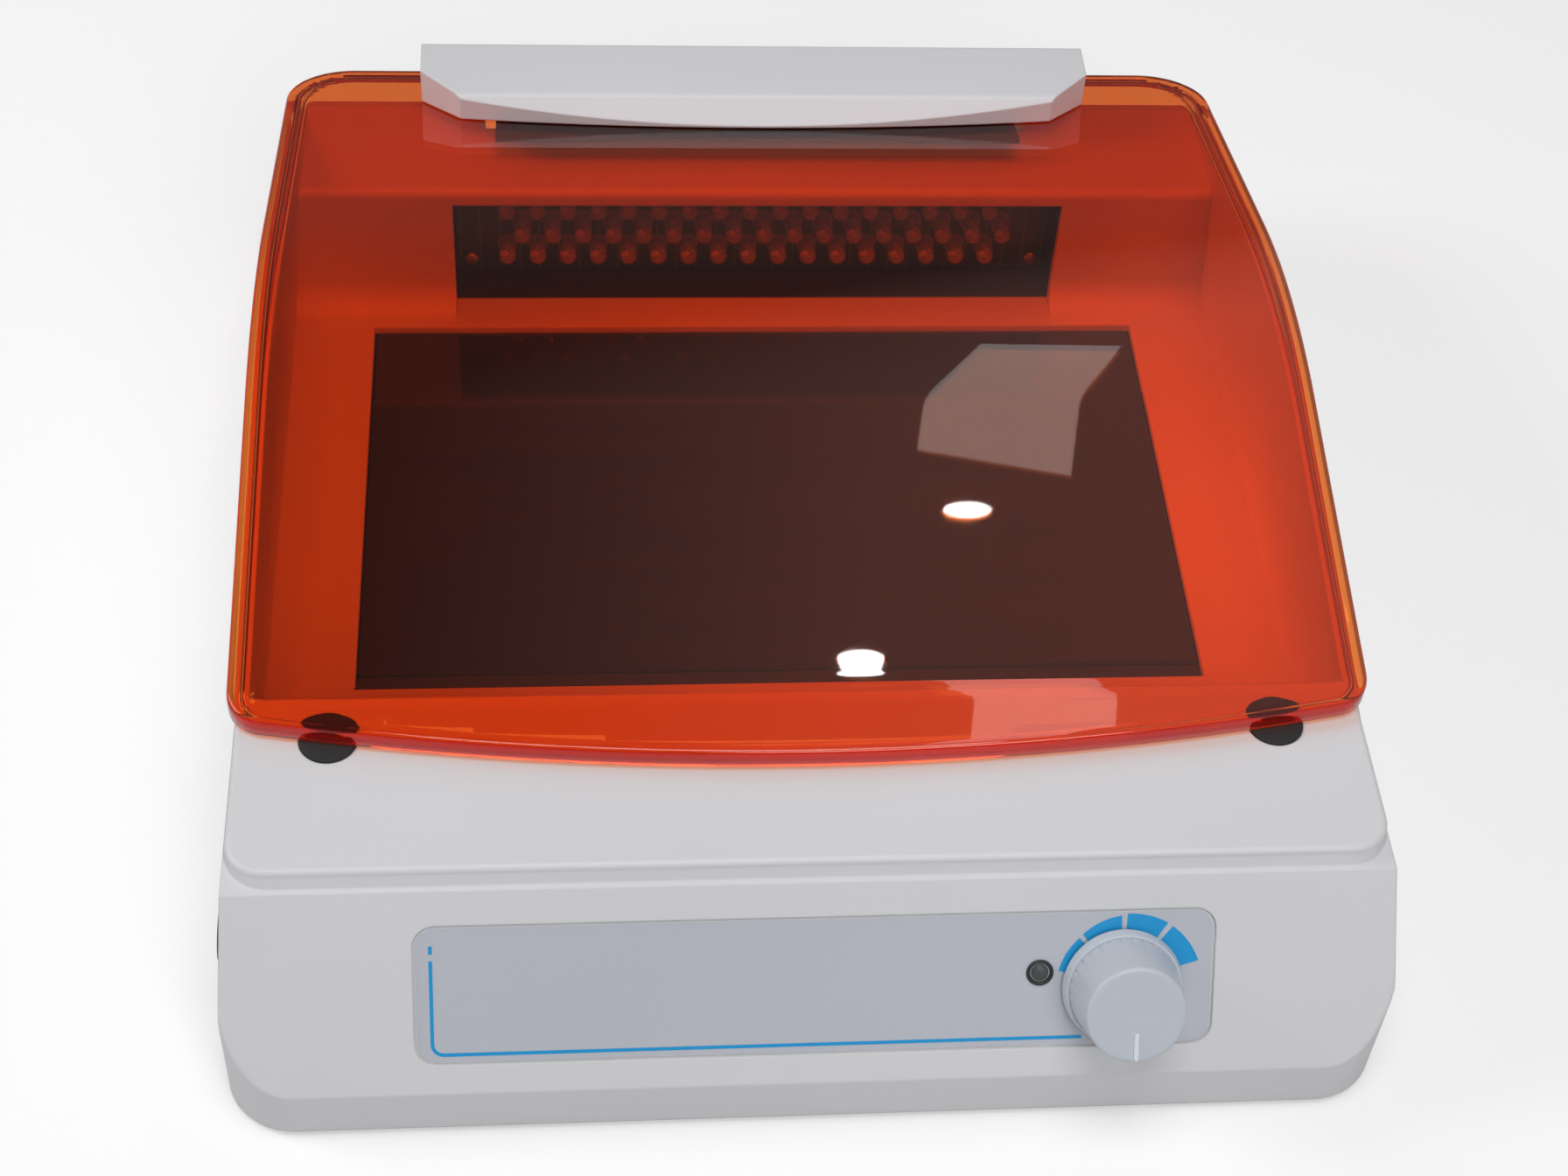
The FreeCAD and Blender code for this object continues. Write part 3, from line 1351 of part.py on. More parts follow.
def hinge_bar():
    """White bar on top of the cover, its web and knuckles reaching down to the hinge pin."""
    plan = outline("bar_outline", "XY", bar_plan(Dim(0)))
    slab = pulled("bar_slab", plan, S.bar_top, up(0))
    bevel_side = outline("bar_bevel_side", "YZ", [
        (back(S.bar_front - 4), up(S.well_floor)),
        (back(S.bar_rear + 1), up(S.well_floor)),
        (back(S.bar_rear + 1), up(S.bar_top)),
        (back(S.bar_front + 6), up(S.bar_top), Dim(2)),
        (back(S.bar_front - 4), up(S.bar_top - 10)),
    ])
    slab = common("bar_cap", slab, through("bar_bevel", bevel_side, S.bar_width))
    under = cover_block("bar_under", -S.fit_gap, Dim(-3), S.rim_height * 6)
    top = cut("bar_top_piece", slab, under)
    half = notch_half() - 1.2
    web_side = outline("bar_web_side", "YZ", [
        (back(S.well_front + 4.5), up(S.hinge_height + 5)),
        (back(S.hinge_depth - 3), up(S.hinge_height - 3)),
        (back(S.hinge_depth + 4.7), up(S.hinge_height)),
        (back(S.bar_rear), up(S.hinge_height + 10)),
        (back(S.bar_rear), up(S.bar_top - 2)),
        (back(S.well_front + 4.5), up(S.bar_top - 4)),
    ])
    web = through("bar_web", web_side, half * 2)
    barrel = rod("bar_barrel", S.knuckle, half * 2, -half, back(S.hinge_depth),
                 up(S.hinge_height), "X")
    gaps = []
    for side in (-1, 1):
        wide = S.ear_wide / 2 + 1
        gaps.append(block("bar_gap_%d" % side,
                          (S.ear_x * side - wide, back(S.hinge_depth - 9), up(S.well_floor)),
                          (S.ear_x * side + wide, back(S.hinge_depth + 9),
                           up(S.hinge_height + 6))))
    bore = rod("bar_bore", S.hinge_pin + 0.1, half * 2 + 4, -half - 2, back(S.hinge_depth),
               up(S.hinge_height), "X")
    pilots = []
    for number, (x, depth) in enumerate(clamp_places()):
        pilots.append(screw_hole("bar_pilot_%d" % number, PILOT, 9, x, back(depth),
                          up(S.hinge_height + 6)))
    return cut("hinge_bar", fuse("bar_solid", top, web, barrel), *gaps, bore, *pilots)


def hinge_pin():
    half = notch_half() - 0.4
    return rod("hinge_pin", S.hinge_pin, half * 2, -half, back(S.hinge_depth),
               up(S.hinge_height), "X")


def bracket_screw_places():
    return [(S.ear_x * side, S.hinge_depth - 11.2) for side in (-1, 1)]


def hinge_brackets():
    """Two ears that hold the pin, each on a foot in the hinge well."""
    made = []
    for side in (-1, 1):
        wide = S.ear_wide / 2
        x = S.ear_x * side
        foot = block("bracket_foot_%d" % side,
                     (x - wide, back(S.hinge_depth - 14), up(S.well_floor)),
                     (x + wide, back(S.base_depth - S.rear_lean - 1), up(S.well_floor + 2)))
        ear_side = outline("bracket_side_%d" % side, "YZ", [
            (back(S.hinge_depth - 8.4), up(S.well_floor + 1)),
            (back(S.base_depth - S.rear_lean - 1), up(S.well_floor + 1)),
            (back(S.hinge_depth + 4), up(S.hinge_height - 3)),
            (back(S.hinge_depth + 4), up(S.hinge_height + 4), Dim(3.4)),
            (back(S.hinge_depth - 4), up(S.hinge_height + 4), Dim(3.4)),
        ])
        ear = pulled("bracket_ear_%d" % side, ear_side, wide * 2, x - wide)
        made.append(fuse("bracket_%d" % side, foot, ear))
    bore = rod("bracket_bore", S.hinge_pin, S.well_width, -S.well_width / 2,
               back(S.hinge_depth), up(S.hinge_height), "X")
    holes = [screw_hole("bracket_hole_%d" % number, SCREW_SHANK + 2 * S.fit_gap, 10, x, back(depth),
                 up(S.well_floor - 3))
             for number, (x, depth) in enumerate(bracket_screw_places())]
    return cut("hinge_brackets", group("bracket_pair", made), bore, *holes)


def bracket_screws():
    made = []
    for number, (x, depth) in enumerate(bracket_screw_places()):
        one = screw("bracket_screw_%d" % number, Dim(4.6), Dim(1.4), SCREW_SHANK, Dim(5))
        place(one, x, back(depth), up(S.well_floor + 2), Rotation(X_AXIS, 180))
        made.append(one)
    return group("bracket_screws", made)


def friction_washers():
    """Spring washers on the pin, each side of both ears."""
    made = []
    for side in (-1, 1):
        for hand in (-1, 1):
            start = S.ear_x * side + S.ear_wide / 2 * hand + (0.1 if hand > 0 else -0.8)
            washer = cut("washer_%d_%d" % (side, hand),
                         prism("washer_disc_%d_%d" % (side, hand), 12, 8, 0.7),
                         prism("washer_bore_%d_%d" % (side, hand), 12, S.hinge_pin * 1.08, 3, -1))
            made.append(place(washer, start, back(S.hinge_depth), up(S.hinge_height),
                              Rotation(Y_AXIS, 90)))
    return group("friction_washers", made)


def clamp_strip():
    """Flat metal strip under the amber sheet that spreads the load of the clamp screws."""
    depth = S.well_front - 1.5
    fall = (S.cover_apex - S.cover_rear) / (S.cover_depth - S.apex_depth)
    top = S.cover_rear + (S.cover_depth - depth) * fall - S.cover_sheet
    half = notch_half() - 2
    side = outline("strip_side", "YZ", [
        (back(depth - 4), up(top + fall * 4 - S.fit_gap / 2 - 1.5)),
        (back(depth + 4), up(top - fall * 4 - S.fit_gap / 2 - 1.5)),
        (back(depth + 4), up(top - fall * 4 - S.fit_gap / 2)),
        (back(depth - 4), up(top + fall * 4 - S.fit_gap / 2)),
    ])
    strip = through("strip_solid", side, half * 2)
    holes = [screw_hole("strip_hole_%d" % number, SCREW_SHANK + 2 * S.fit_gap, 40, x, back(d),
                 up(S.well_floor))
             for number, (x, d) in enumerate(clamp_places())]
    return cut("clamp_strip", strip, *holes)


def clamp_screws():
    made = []
    depth = S.well_front - 1.5
    fall = (S.cover_apex - S.cover_rear) / (S.cover_depth - S.apex_depth)
    under = S.cover_rear + (S.cover_depth - depth) * fall - S.cover_sheet - 2.2
    for number, (x, d) in enumerate(clamp_places()):
        one = screw("clamp_screw_%d" % number, Dim(4.6), Dim(1.2), SCREW_SHANK, Dim(8))
        made.append(place(one, x, back(d), up(under)))
    return group("clamp_screws", made)


def cover_bumpers():
    made = []
    for side in (-1, 1):
        bumper = turned("bumper_%d" % side, [
            (Dim(0), -S.bumper_seat),
            (S.bumper_bore / 2, -S.bumper_seat),
            (S.bumper_bore / 2, Dim(0.2)),
            (S.bumper_bore / 2 - 1, Dim(0.7)),
            (Dim(0), Dim(0.7)),
        ])
        made.append(place(bumper, S.bumper_x * side, back(S.bumper_depth),
                          up(S.shelf_height)))
    return group("cover_bumpers", made)


NODES = {
    "upper_housing": upper_housing(),
    "base_plate": base_plate(),
    "rubber_feet": rubber_feet(),
    "base_screws": base_screws(),
    "stage_plate": stage_plate(),
    "stage_frame": stage_frame(),
    "stage_screws": stage_screws(),
    "led_chamber": led_chamber(),
    "led_board": led_board(),
    "led_array": led_array(),
    "led_heat_sink": led_heat_sink(),
    "led_board_screws": led_board_screws(),
    "control_overlay": control_overlay(),
    "indicator_holder": indicator_holder(),
    "indicator_led": indicator_led(),
    "dimmer_knob": dimmer_knob(),
    "potentiometer_body": potentiometer_body(),
    "potentiometer_shaft": potentiometer_shaft(),
    "potentiometer_nut": potentiometer_nut(),
    "driver_board": driver_board(),
    "driver_standoffs": driver_standoffs(),
    "driver_screws": driver_screws(),
    "switch_housing": switch_housing(),
    "power_rocker": power_rocker(),
    "dc_inlet": dc_inlet(),
    "inlet_nut": inlet_nut(),
    "viewing_cover": viewing_cover(),
    "hinge_bar": hinge_bar(),
    "hinge_pin": hinge_pin(),
    "hinge_brackets": hinge_brackets(),
    "bracket_screws": bracket_screws(),
    "friction_washers": friction_washers(),
    "clamp_strip": clamp_strip(),
    "clamp_screws": clamp_screws(),
    "cover_bumpers": cover_bumpers(),
}


def check_and_write():
    """Stop at any failed object or poor shape, then write one file for each piece."""
    doc.recompute()
    failed = [o.Name for o in doc.Objects if "Invalid" in o.State or "Error" in o.State]
    if failed:
        raise RuntimeError("failed objects: %s" % ", ".join(failed))
    os.makedirs("parts", exist_ok=True)
    for node, obj in NODES.items():
        obj.Label = node
        shape = obj.Shape
        if shape.isNull() or not shape.isValid() or not shape.Solids:
            raise RuntimeError("%s has no valid solid" % node)
        shape.exportStep("parts/%s.step" % node)
        box = shape.BoundBox
        print("%-20s solids %2d volume %9.1f  x %7.1f %7.1f  y %7.1f %7.1f  z %6.1f %6.1f" % (
            node, len(shape.Solids), shape.Volume, box.XMin, box.XMax, box.YMin, box.YMax,
            box.ZMin, box.ZMax))


check_and_write()
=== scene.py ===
import json
import math

import bmesh
import bpy
from bpy.props import FloatProperty, FloatVectorProperty, IntProperty, PointerProperty
from mathutils import Matrix, Quaternion, Vector


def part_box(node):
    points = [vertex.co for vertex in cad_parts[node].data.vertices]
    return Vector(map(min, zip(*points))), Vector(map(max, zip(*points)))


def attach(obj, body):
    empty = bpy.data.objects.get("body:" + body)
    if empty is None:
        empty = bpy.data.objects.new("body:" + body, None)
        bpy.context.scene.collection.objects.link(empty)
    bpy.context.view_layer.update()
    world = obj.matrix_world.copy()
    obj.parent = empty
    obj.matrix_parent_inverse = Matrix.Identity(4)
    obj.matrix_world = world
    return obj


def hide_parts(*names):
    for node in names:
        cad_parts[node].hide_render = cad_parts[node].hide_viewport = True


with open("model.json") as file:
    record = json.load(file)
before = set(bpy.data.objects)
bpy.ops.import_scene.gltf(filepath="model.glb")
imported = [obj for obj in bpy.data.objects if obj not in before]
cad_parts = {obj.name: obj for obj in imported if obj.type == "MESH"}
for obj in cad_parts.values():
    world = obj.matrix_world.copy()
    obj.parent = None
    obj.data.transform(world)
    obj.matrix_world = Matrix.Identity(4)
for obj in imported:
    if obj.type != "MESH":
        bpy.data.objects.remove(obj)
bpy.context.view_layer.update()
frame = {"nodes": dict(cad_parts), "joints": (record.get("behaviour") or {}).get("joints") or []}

bl_info = {
    "name": "Blue light transilluminator",
    "version": (1, 0, 0),
    "blender": (4, 5, 0),
    "location": "View3D > Sidebar > Transilluminator",
    "description": "Finishes and fine detail for a bench transilluminator with an amber cover",
    "category": "Object",
}


# Places read from the frame. All sizes are in metres.


DIAL = next(joint for joint in frame["joints"] if joint["name"] == "dimmer_turn")
DIAL_CENTRE = Vector(DIAL["pos_m"])
FACE_OUT = -Vector(DIAL["axis"]).normalized()
FACE_UP = Vector((0, FACE_OUT.z, -FACE_OUT.y))
ACROSS = Vector((1, 0, 0))


def middle(node):
    """Centre of a node's box."""
    box_low, box_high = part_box(node)
    return (box_low + box_high) / 2


def console_matrix(origin):
    """Frame of the sloped console face: x across, y up the slope, z out of it."""
    turn = Matrix((ACROSS, FACE_UP, FACE_OUT)).transposed().to_4x4()
    return Matrix.Translation(origin) @ turn


def islands(node):
    """Boxes of the separate solids of a node, in order from left to right."""
    mesh = bmesh.new()
    mesh.from_mesh(frame["nodes"][node].data)
    bmesh.ops.remove_doubles(mesh, verts=mesh.verts, dist=0.00002)
    mesh.verts.ensure_lookup_table()
    waiting = set(mesh.verts)
    boxes = []
    while waiting:
        todo = [waiting.pop()]
        found = list(todo)
        while todo:
            for edge in todo.pop().link_edges:
                for vert in edge.verts:
                    if vert in waiting:
                        waiting.remove(vert)
                        todo.append(vert)
                        found.append(vert)
        corner = [[v.co[i] for v in found] for i in range(3)]
        boxes.append((Vector([min(c) for c in corner]), Vector([max(c) for c in corner])))
    mesh.free()
    return sorted(boxes, key=lambda box: tuple(box[0]))


# User sizes and colours.


def colour(name, note, value):
    return FloatVectorProperty(name=name, description=note, default=value, size=3, min=0, max=1,
                               subtype="COLOR")


def number(name, note, value, **limits):
    return FloatProperty(name=name, description=note, default=value, **limits)


def length(name, note, value):
    return number(name, note, value, min=0, unit="LENGTH", subtype="DISTANCE", precision=5)


def angle(name, note, degrees):
    return number(name, note, math.radians(degrees), unit="ROTATION", subtype="ANGLE")


class HousingLooks(bpy.types.PropertyGroup):
    """Finishes of the white mouldings and the label panel."""

    white: colour("Housing white", "Off-white of the moulded housing", (0.72, 0.715, 0.73))
    base: colour("Base plate", "Grey of the base plate", (0.5, 0.5, 0.5))
    panel: colour("Panel grey", "Printed ground of the label panel", (0.54, 0.555, 0.61))
    ink: colour("Ink blue", "Blue of the printed lines and arcs", (0.006, 0.33, 0.7))
    knob: colour("Knob grey", "Grey of the dimmer knob", (0.56, 0.6, 0.66))
    edge: length("Edge softness", "Rounding of moulded edges", 0.0007)


class CoverLooks(bpy.types.PropertyGroup):
    """Size and colour of the amber cover."""

    amber: colour("Amber", "What one pass through the sheet lets by", (0.985, 0.245, 0.04))
    deep: colour("Deep amber", "The same seen along the sheet", (0.6, 0.012, 0.002))
    sheet: length("Sheet", "Thickness of the amber sheet", 0.003)
    rim: length("Rim", "Height of the turned-down rim", 0.0054)
    lip_round: length("Edge radius", "Rounded upper edge of the rim", 0.0011)


class LampLooks(bpy.types.PropertyGroup):
    """LEDs behind the window."""

    rows: IntProperty(name="Rows", description="Rows of LEDs", default=3, min=1)
    columns: IntProperty(name="Columns", description="LEDs in a row", default=17, min=1)
    pitch: length("Pitch", "Spacing along a row", 0.0085)
    rise: length("Rise", "Spacing of the rows", 0.0074)
    radius: length("Radius", "Radius of an LED's lens", 0.0025)
    lens: colour("Lens", "Clear cast lens", (0.9, 0.9, 0.93))


class StudioLooks(bpy.types.PropertyGroup):
    """Camera, floor and lamps."""

    floor: colour("Floor", "Pale floor", (0.7, 0.7, 0.7))
    sky: number("Sky", "Strength of the even surrounding light", 0.25, min=0)
    mirrored: number("Mirrored sky", "Strength of the sky in reflections", 0.3, min=0)
    key: number("Key lamp", "Power of the large lamp above", 7.5, min=0, unit="POWER",
                subtype="POWER")
    yaw: angle("Yaw", "Camera turned to the right", 8.47)
    pitch: angle("Pitch", "Camera tilted down", 48.23)
    roll: angle("Roll", "Camera rolled about its axis", 5.6)
    lens: number("Focal length", "Focal length in millimetres", 61.99, min=1)


# Shader helpers.


MADE = {}


def once(name, make):
    """A material or a node tree by name, made on first use."""
    if name not in MADE:
        MADE[name] = make()
    return MADE[name]


def finish(make, name, *values, **more):
    """One material of each name."""
    return once(name, lambda: make(name, *values, **more))


def new_material(name):
    material = bpy.data.materials.new(name)
    material.use_nodes = True
    material.node_tree.nodes.clear()
    return material, material.node_tree


def add(tree, kind, **values):
    """A node in a tree, with plain settings or input values by name."""
    node = tree.nodes.new(kind)
    for key, value in values.items():
        if hasattr(node, key):
            setattr(node, key, value)
        else:
            node.inputs[key.replace("_", " ")].default_value = value
    return node


def wire(tree, source, out, target, into):
    """Join an output of one node to an input of another."""
    tree.links.new(source.outputs[out], target.inputs[into])


def math_node(tree, operation, *values):
    """The result of a sum on numbers and sockets."""
    node = add(tree, "ShaderNodeMath", operation=operation)
    for place, value in enumerate(values):
        if isinstance(value, (int, float)):
            node.inputs[place].default_value = value
        else:
            tree.links.new(value, node.inputs[place])
    return node.outputs[0]


class Value:
    """A float socket of a tree that takes plain arithmetic."""

    def __init__(self, tree, socket):
        self.tree, self.socket = tree, socket

    def sum(self, operation, *others):
        plain = [other.socket if isinstance(other, Value) else other for other in others]
        return Value(self.tree, math_node(self.tree, operation, self.socket, *plain))

    def __add__(self, other):
        return self.sum("ADD", other)

    def __sub__(self, other):
        return self.sum("SUBTRACT", other)

    def __mul__(self, other):
        return self.sum("MULTIPLY", other)

    def __truediv__(self, other):
        return self.sum("DIVIDE", other)

    def __mod__(self, other):
        return self.sum("MODULO", other)

    def into(self, node, label):
        self.tree.links.new(self.socket, node.inputs[label])


def four(rgb):
    return (rgb[0], rgb[1], rgb[2], 1.0)


def shade(rgb, factor):
    return tuple(min(1.0, c * factor) for c in rgb)


def object_noise(tree, stretch=None, turn=(0, 0, 0), **values):
    """Noise over the object, stretched and turned if a stretch is given."""
    place = add(tree, "ShaderNodeTexCoord")
    noise = add(tree, "ShaderNodeTexNoise", **values)
    if stretch:
        mapping = add(tree, "ShaderNodeMapping", Scale=stretch, Rotation=turn)
        wire(tree, place, "Object", mapping, "Vector")
        wire(tree, mapping, "Vector", noise, "Vector")
    else:
        wire(tree, place, "Object", noise, "Vector")
    return noise


def blend(tree, mask, first, second):
    """A colour between two by a mask; each of the two is a colour or a socket."""
    mix = add(tree, "ShaderNodeMix", data_type="RGBA")
    tree.links.new(mask, mix.inputs["Factor"])
    for label, tone in (("A", first), ("B", second)):
        if isinstance(tone, bpy.types.NodeSocket):
            tree.links.new(tone, mix.inputs[label])
        else:
            mix.inputs[label].default_value = four(tone)
    return mix.outputs["Result"]


def add_bump(tree, height, skin, strength, distance):
    bump = add(tree, "ShaderNodeBump", Strength=strength, Distance=distance)
    tree.links.new(height, bump.inputs["Height"])
    wire(tree, bump, "Normal", skin, "Normal")
    return bump


def end_material(tree, shader):
    out = add(tree, "ShaderNodeOutputMaterial")
    tree.links.new(shader.outputs[0], out.inputs["Surface"])


def new_group(name, inputs, outputs):
    """A shader node group with float inputs and outputs."""
    tree = bpy.data.node_groups.new(name, "ShaderNodeTree")
    for label, value in inputs.items():
        socket = tree.interface.new_socket(label, in_out="INPUT", socket_type="NodeSocketFloat")
        socket.default_value = value
    for label in outputs:
        tree.interface.new_socket(label, in_out="OUTPUT", socket_type="NodeSocketFloat")
    return tree, tree.nodes.new("NodeGroupInput"), tree.nodes.new("NodeGroupOutput")


def group_node(tree, make, **values):
    """A node that runs a shared shader group."""
    return add(tree, "ShaderNodeGroup", node_tree=once(make.__name__, make), **values)


def moulded_grain():
    """Fine spark-eroded texture: a height for bump, a roughness and a faint mottle."""
    tree, given, out = new_group(
        "moulded grain", {"Scale": 2500.0, "Roughness": 0.5, "Spread": 0.08},
        ("Height", "Roughness", "Mottle"))
    fine = object_noise(tree, Detail=3.0, Roughness=0.6)
    broad = object_noise(tree, Scale=14.0, Detail=2.0)
    wire(tree, given, "Scale", fine, "Scale")
    centred = Value(tree, broad.outputs["Fac"]) - 0.5
    rough = centred.sum("MULTIPLY_ADD", given.outputs["Spread"], given.outputs["Roughness"])
    wire(tree, fine, "Fac", out, "Height")
    rough.into(out, "Roughness")
    wire(tree, broad, "Fac", out, "Mottle")
    return tree


def edge_wear():
    """Mask of convex edges, broken up, for plating worn thin."""
    tree, given, out = new_group("edge wear", {"Amount": 0.5}, ("Mask",))
    surface = add(tree, "ShaderNodeNewGeometry")
    speckle = object_noise(tree, Scale=300.0, Detail=4.0)
    rise = add(tree, "ShaderNodeMapRange", From_Min=0.52, From_Max=0.6)
    wire(tree, surface, "Pointiness", rise, "Value")
    broken = Value(tree, rise.outputs["Result"]) * speckle.outputs["Fac"]
    (broken * given.outputs["Amount"]).into(out, "Mask")
    return tree


def plastic(name, rgb, roughness, depth=0.00003, scale=2500.0, round_edge=0.0, specular=0.5):
    """Moulded plastic: fine grain in the bump, faint mottle in the colour."""
    material, tree = new_material(name)
    skin = add(tree, "ShaderNodeBsdfPrincipled", Specular_IOR_Level=specular)
    texture = group_node(tree, moulded_grain, Scale=scale, Roughness=roughness)
    base = blend(tree, texture.outputs["Mottle"], shade(rgb, 0.97), shade(rgb, 1.03))
    tree.links.new(base, skin.inputs["Base Color"])
    wire(tree, texture, "Roughness", skin, "Roughness")
    bump = add_bump(tree, texture.outputs["Height"], skin, 0.35, depth)
    if round_edge:
        soft = add(tree, "ShaderNodeBevel", samples=6, Radius=round_edge)
        wire(tree, soft, "Normal", bump, "Normal")
    end_material(tree, skin)
    return material


def metal(name, rgb, roughness, lines=(40.0, 40.0, 2000.0), wear=0.0):
    """Plated or drawn metal with fine lines in its roughness."""
    material, tree = new_material(name)
    skin = add(tree, "ShaderNodeBsdfPrincipled", Metallic=1.0)
    noise = object_noise(tree, lines, Scale=1.0, Detail=3.0)
    rough = add(tree, "ShaderNodeMapRange", To_Min=roughness * 0.7, To_Max=roughness * 1.4)
    wire(tree, noise, "Fac", rough, "Value")
    wire(tree, rough, "Result", skin, "Roughness")
    mask = noise.outputs["Fac"]
    if wear:
        mask = group_node(tree, edge_wear, Amount=wear).outputs["Mask"]
    tree.links.new(blend(tree, mask, rgb, shade(rgb, 1.15)), skin.inputs["Base Color"])
    add_bump(tree, noise.outputs["Fac"], skin, 0.2, 0.00002)
    end_material(tree, skin)
    return material


def lamp_through(tree, glass, tint):
    """Mix in a clear shader for rays from lamps, so that what is behind the glass is lit."""
    path = add(tree, "ShaderNodeLightPath")
    clear = add(tree, "ShaderNodeBsdfTransparent", Color=four([math.sqrt(c) for c in tint]))
    either = Value(tree, path.outputs["Is Shadow Ray"]).sum("MAXIMUM",
                                                            path.outputs["Is Diffuse Ray"])
    mix = add(tree, "ShaderNodeMixShader")
    either.into(mix, "Fac")
    tree.links.new(glass.outputs["BSDF"], mix.inputs[1])
    tree.links.new(clear.outputs["BSDF"], mix.inputs[2])
    end_material(tree, mix)


def amber_sheet(name, looks, flat, through):
    """Clear amber acrylic with the faint waviness of a formed sheet, deeper at a slant."""
    material, tree = new_material(name)
    glass = add(tree, "ShaderNodeBsdfPrincipled", Roughness=0.015, IOR=1.49,
                Transmission_Weight=through)
    wave = object_noise(tree, Scale=9.0, Detail=1.0)
    tone = blend(tree, wave.outputs["Fac"], shade(flat, 0.97), shade(flat, 1.02))
    slant = add(tree, "ShaderNodeLayerWeight", Blend=0.38)
    tone = blend(tree, slant.outputs["Facing"], tone, looks.deep)
    tree.links.new(tone, glass.inputs["Base Color"])
    add_bump(tree, wave.outputs["Fac"], glass, 0.05, 0.001)
    lamp_through(tree, glass, looks.amber)
    return material


def clear_lens(name, looks):
    """Clear cast epoxy, a little clouded."""
    material, tree = new_material(name)
    glass = add(tree, "ShaderNodeBsdfPrincipled", Roughness=0.06, IOR=1.5,
                Transmission_Weight=0.75)
    cloud = object_noise(tree, Scale=500.0)
    tone = blend(tree, cloud.outputs["Fac"], shade(looks.lens, 0.94), looks.lens)
    tree.links.new(tone, glass.inputs["Base Color"])
    lamp_through(tree, glass, looks.lens)
    return material


def stage_glass(name):
    """Black glass with a few faint wipe marks in its gloss."""
    material, tree = new_material(name)
    skin = add(tree, "ShaderNodeBsdfPrincipled", IOR=1.52)
    wipe = object_noise(tree, (6.0, 60.0, 6.0), (0, 0, 0.5), Scale=2.0, Detail=4.0)
    gloss = add(tree, "ShaderNodeMapRange", From_Min=0.45, From_Max=0.8, To_Min=0.04,
                To_Max=0.12)
    wire(tree, wipe, "Fac", gloss, "Value")
    wire(tree, gloss, "Result", skin, "Roughness")
    tone = blend(tree, wipe.outputs["Fac"], (0.022, 0.022, 0.024), (0.034, 0.034, 0.036))
    tree.links.new(tone, skin.inputs["Base Color"])
    end_material(tree, skin)
    return material


def circuit_board(name):
    """Dark lacquered board with copper tracks showing through."""
    material, tree = new_material(name)
    skin = add(tree, "ShaderNodeBsdfPrincipled", Roughness=0.35)
    place = add(tree, "ShaderNodeTexCoord")
    tracks = add(tree, "ShaderNodeTexBrick", Scale=90.0, Color1=(0.015, 0.05, 0.03, 1),
                 Color2=(0.02, 0.065, 0.035, 1), Mortar=(0.05, 0.12, 0.06, 1), Mortar_Size=0.04)
    wire(tree, place, "Object", tracks, "Vector")
    wire(tree, tracks, "Color", skin, "Base Color")
    add_bump(tree, tracks.outputs["Fac"], skin, 0.3, 0.00003)
    end_material(tree, skin)
    return material


def steel():
    return finish(metal, "nickel plate", (0.62, 0.62, 0.61), 0.28, wear=0.4)


def screw_steel():
    return finish(metal, "zinc plate", (0.5, 0.5, 0.5), 0.35, wear=0.5)


def rubber():
    return finish(plastic, "black rubber", (0.028, 0.028, 0.03), 0.75, 0.00006, 1800.0,
                  specular=0.3)


def black_plastic():
    return finish(plastic, "black moulding", (0.02, 0.02, 0.022), 0.5, round_edge=0.0003)


def board():
    return finish(circuit_board, "circuit board")


def paint(material, *nodes):
    """Give frame nodes their finish."""
    for node in nodes:
        mesh = frame["nodes"][node].data
        mesh.materials.clear()
        mesh.materials.append(material)


# Mesh helpers.


def link_object(name, data):
    made = bpy.data.objects.new(name, data)
    bpy.context.scene.collection.objects.link(made)
    return made


def to_data(name, mesh):
    """Mesh data from a bmesh, which is freed."""
    data = bpy.data.meshes.new(name)
    mesh.to_mesh(data)
    mesh.free()
    return data


def smooth(data, sharp_angle):
    data.shade_smooth()
    data.set_sharp_from_angle(angle=math.radians(sharp_angle))


def to_object(name, mesh, material, sharp_angle=35.0):
    """A finished piece from a bmesh already in the shared frame."""
    data = to_data(name, mesh)
    data.materials.append(material)
    smooth(data, sharp_angle)
    return link_object(name, data)


def evaluated(made):
    """A new mesh of an object with its modifiers applied."""
    depsgraph = bpy.context.evaluated_depsgraph_get()
    depsgraph.update()
    return bpy.data.meshes.new_from_object(made.evaluated_get(depsgraph), depsgraph=depsgraph)


def add_cube(mesh, centre, size, turn=Matrix()):
    """A box about a centre, added to a bmesh, then turned about the origin."""
    made = bmesh.ops.create_cube(mesh, size=1.0)
    bmesh.ops.transform(mesh, verts=made["verts"],
                        matrix=turn @ Matrix.Translation(centre) @ Matrix.Diagonal((*size, 1)))


def bridge(mesh, rings):
    """Faces between equal rings of vertices in turn, and over the first and the last."""
    count = len(rings[0])
    for one, two in zip(rings, rings[1:]):
        for step in range(count):
            after = (step + 1) % count
            mesh.faces.new((one[step], one[after], two[after], two[step]))
    mesh.faces.new(rings[0])
    mesh.faces.new(rings[-1])


def arc(centre, radius, start, end, steps):
    """Plan points on an arc from start to end in degrees."""
    turns = [math.radians(start + (end - start) * step / steps) for step in range(steps + 1)]
    return [Vector((centre[0] + radius * math.cos(turn), centre[1] + radius * math.sin(turn)))
            for turn in turns]


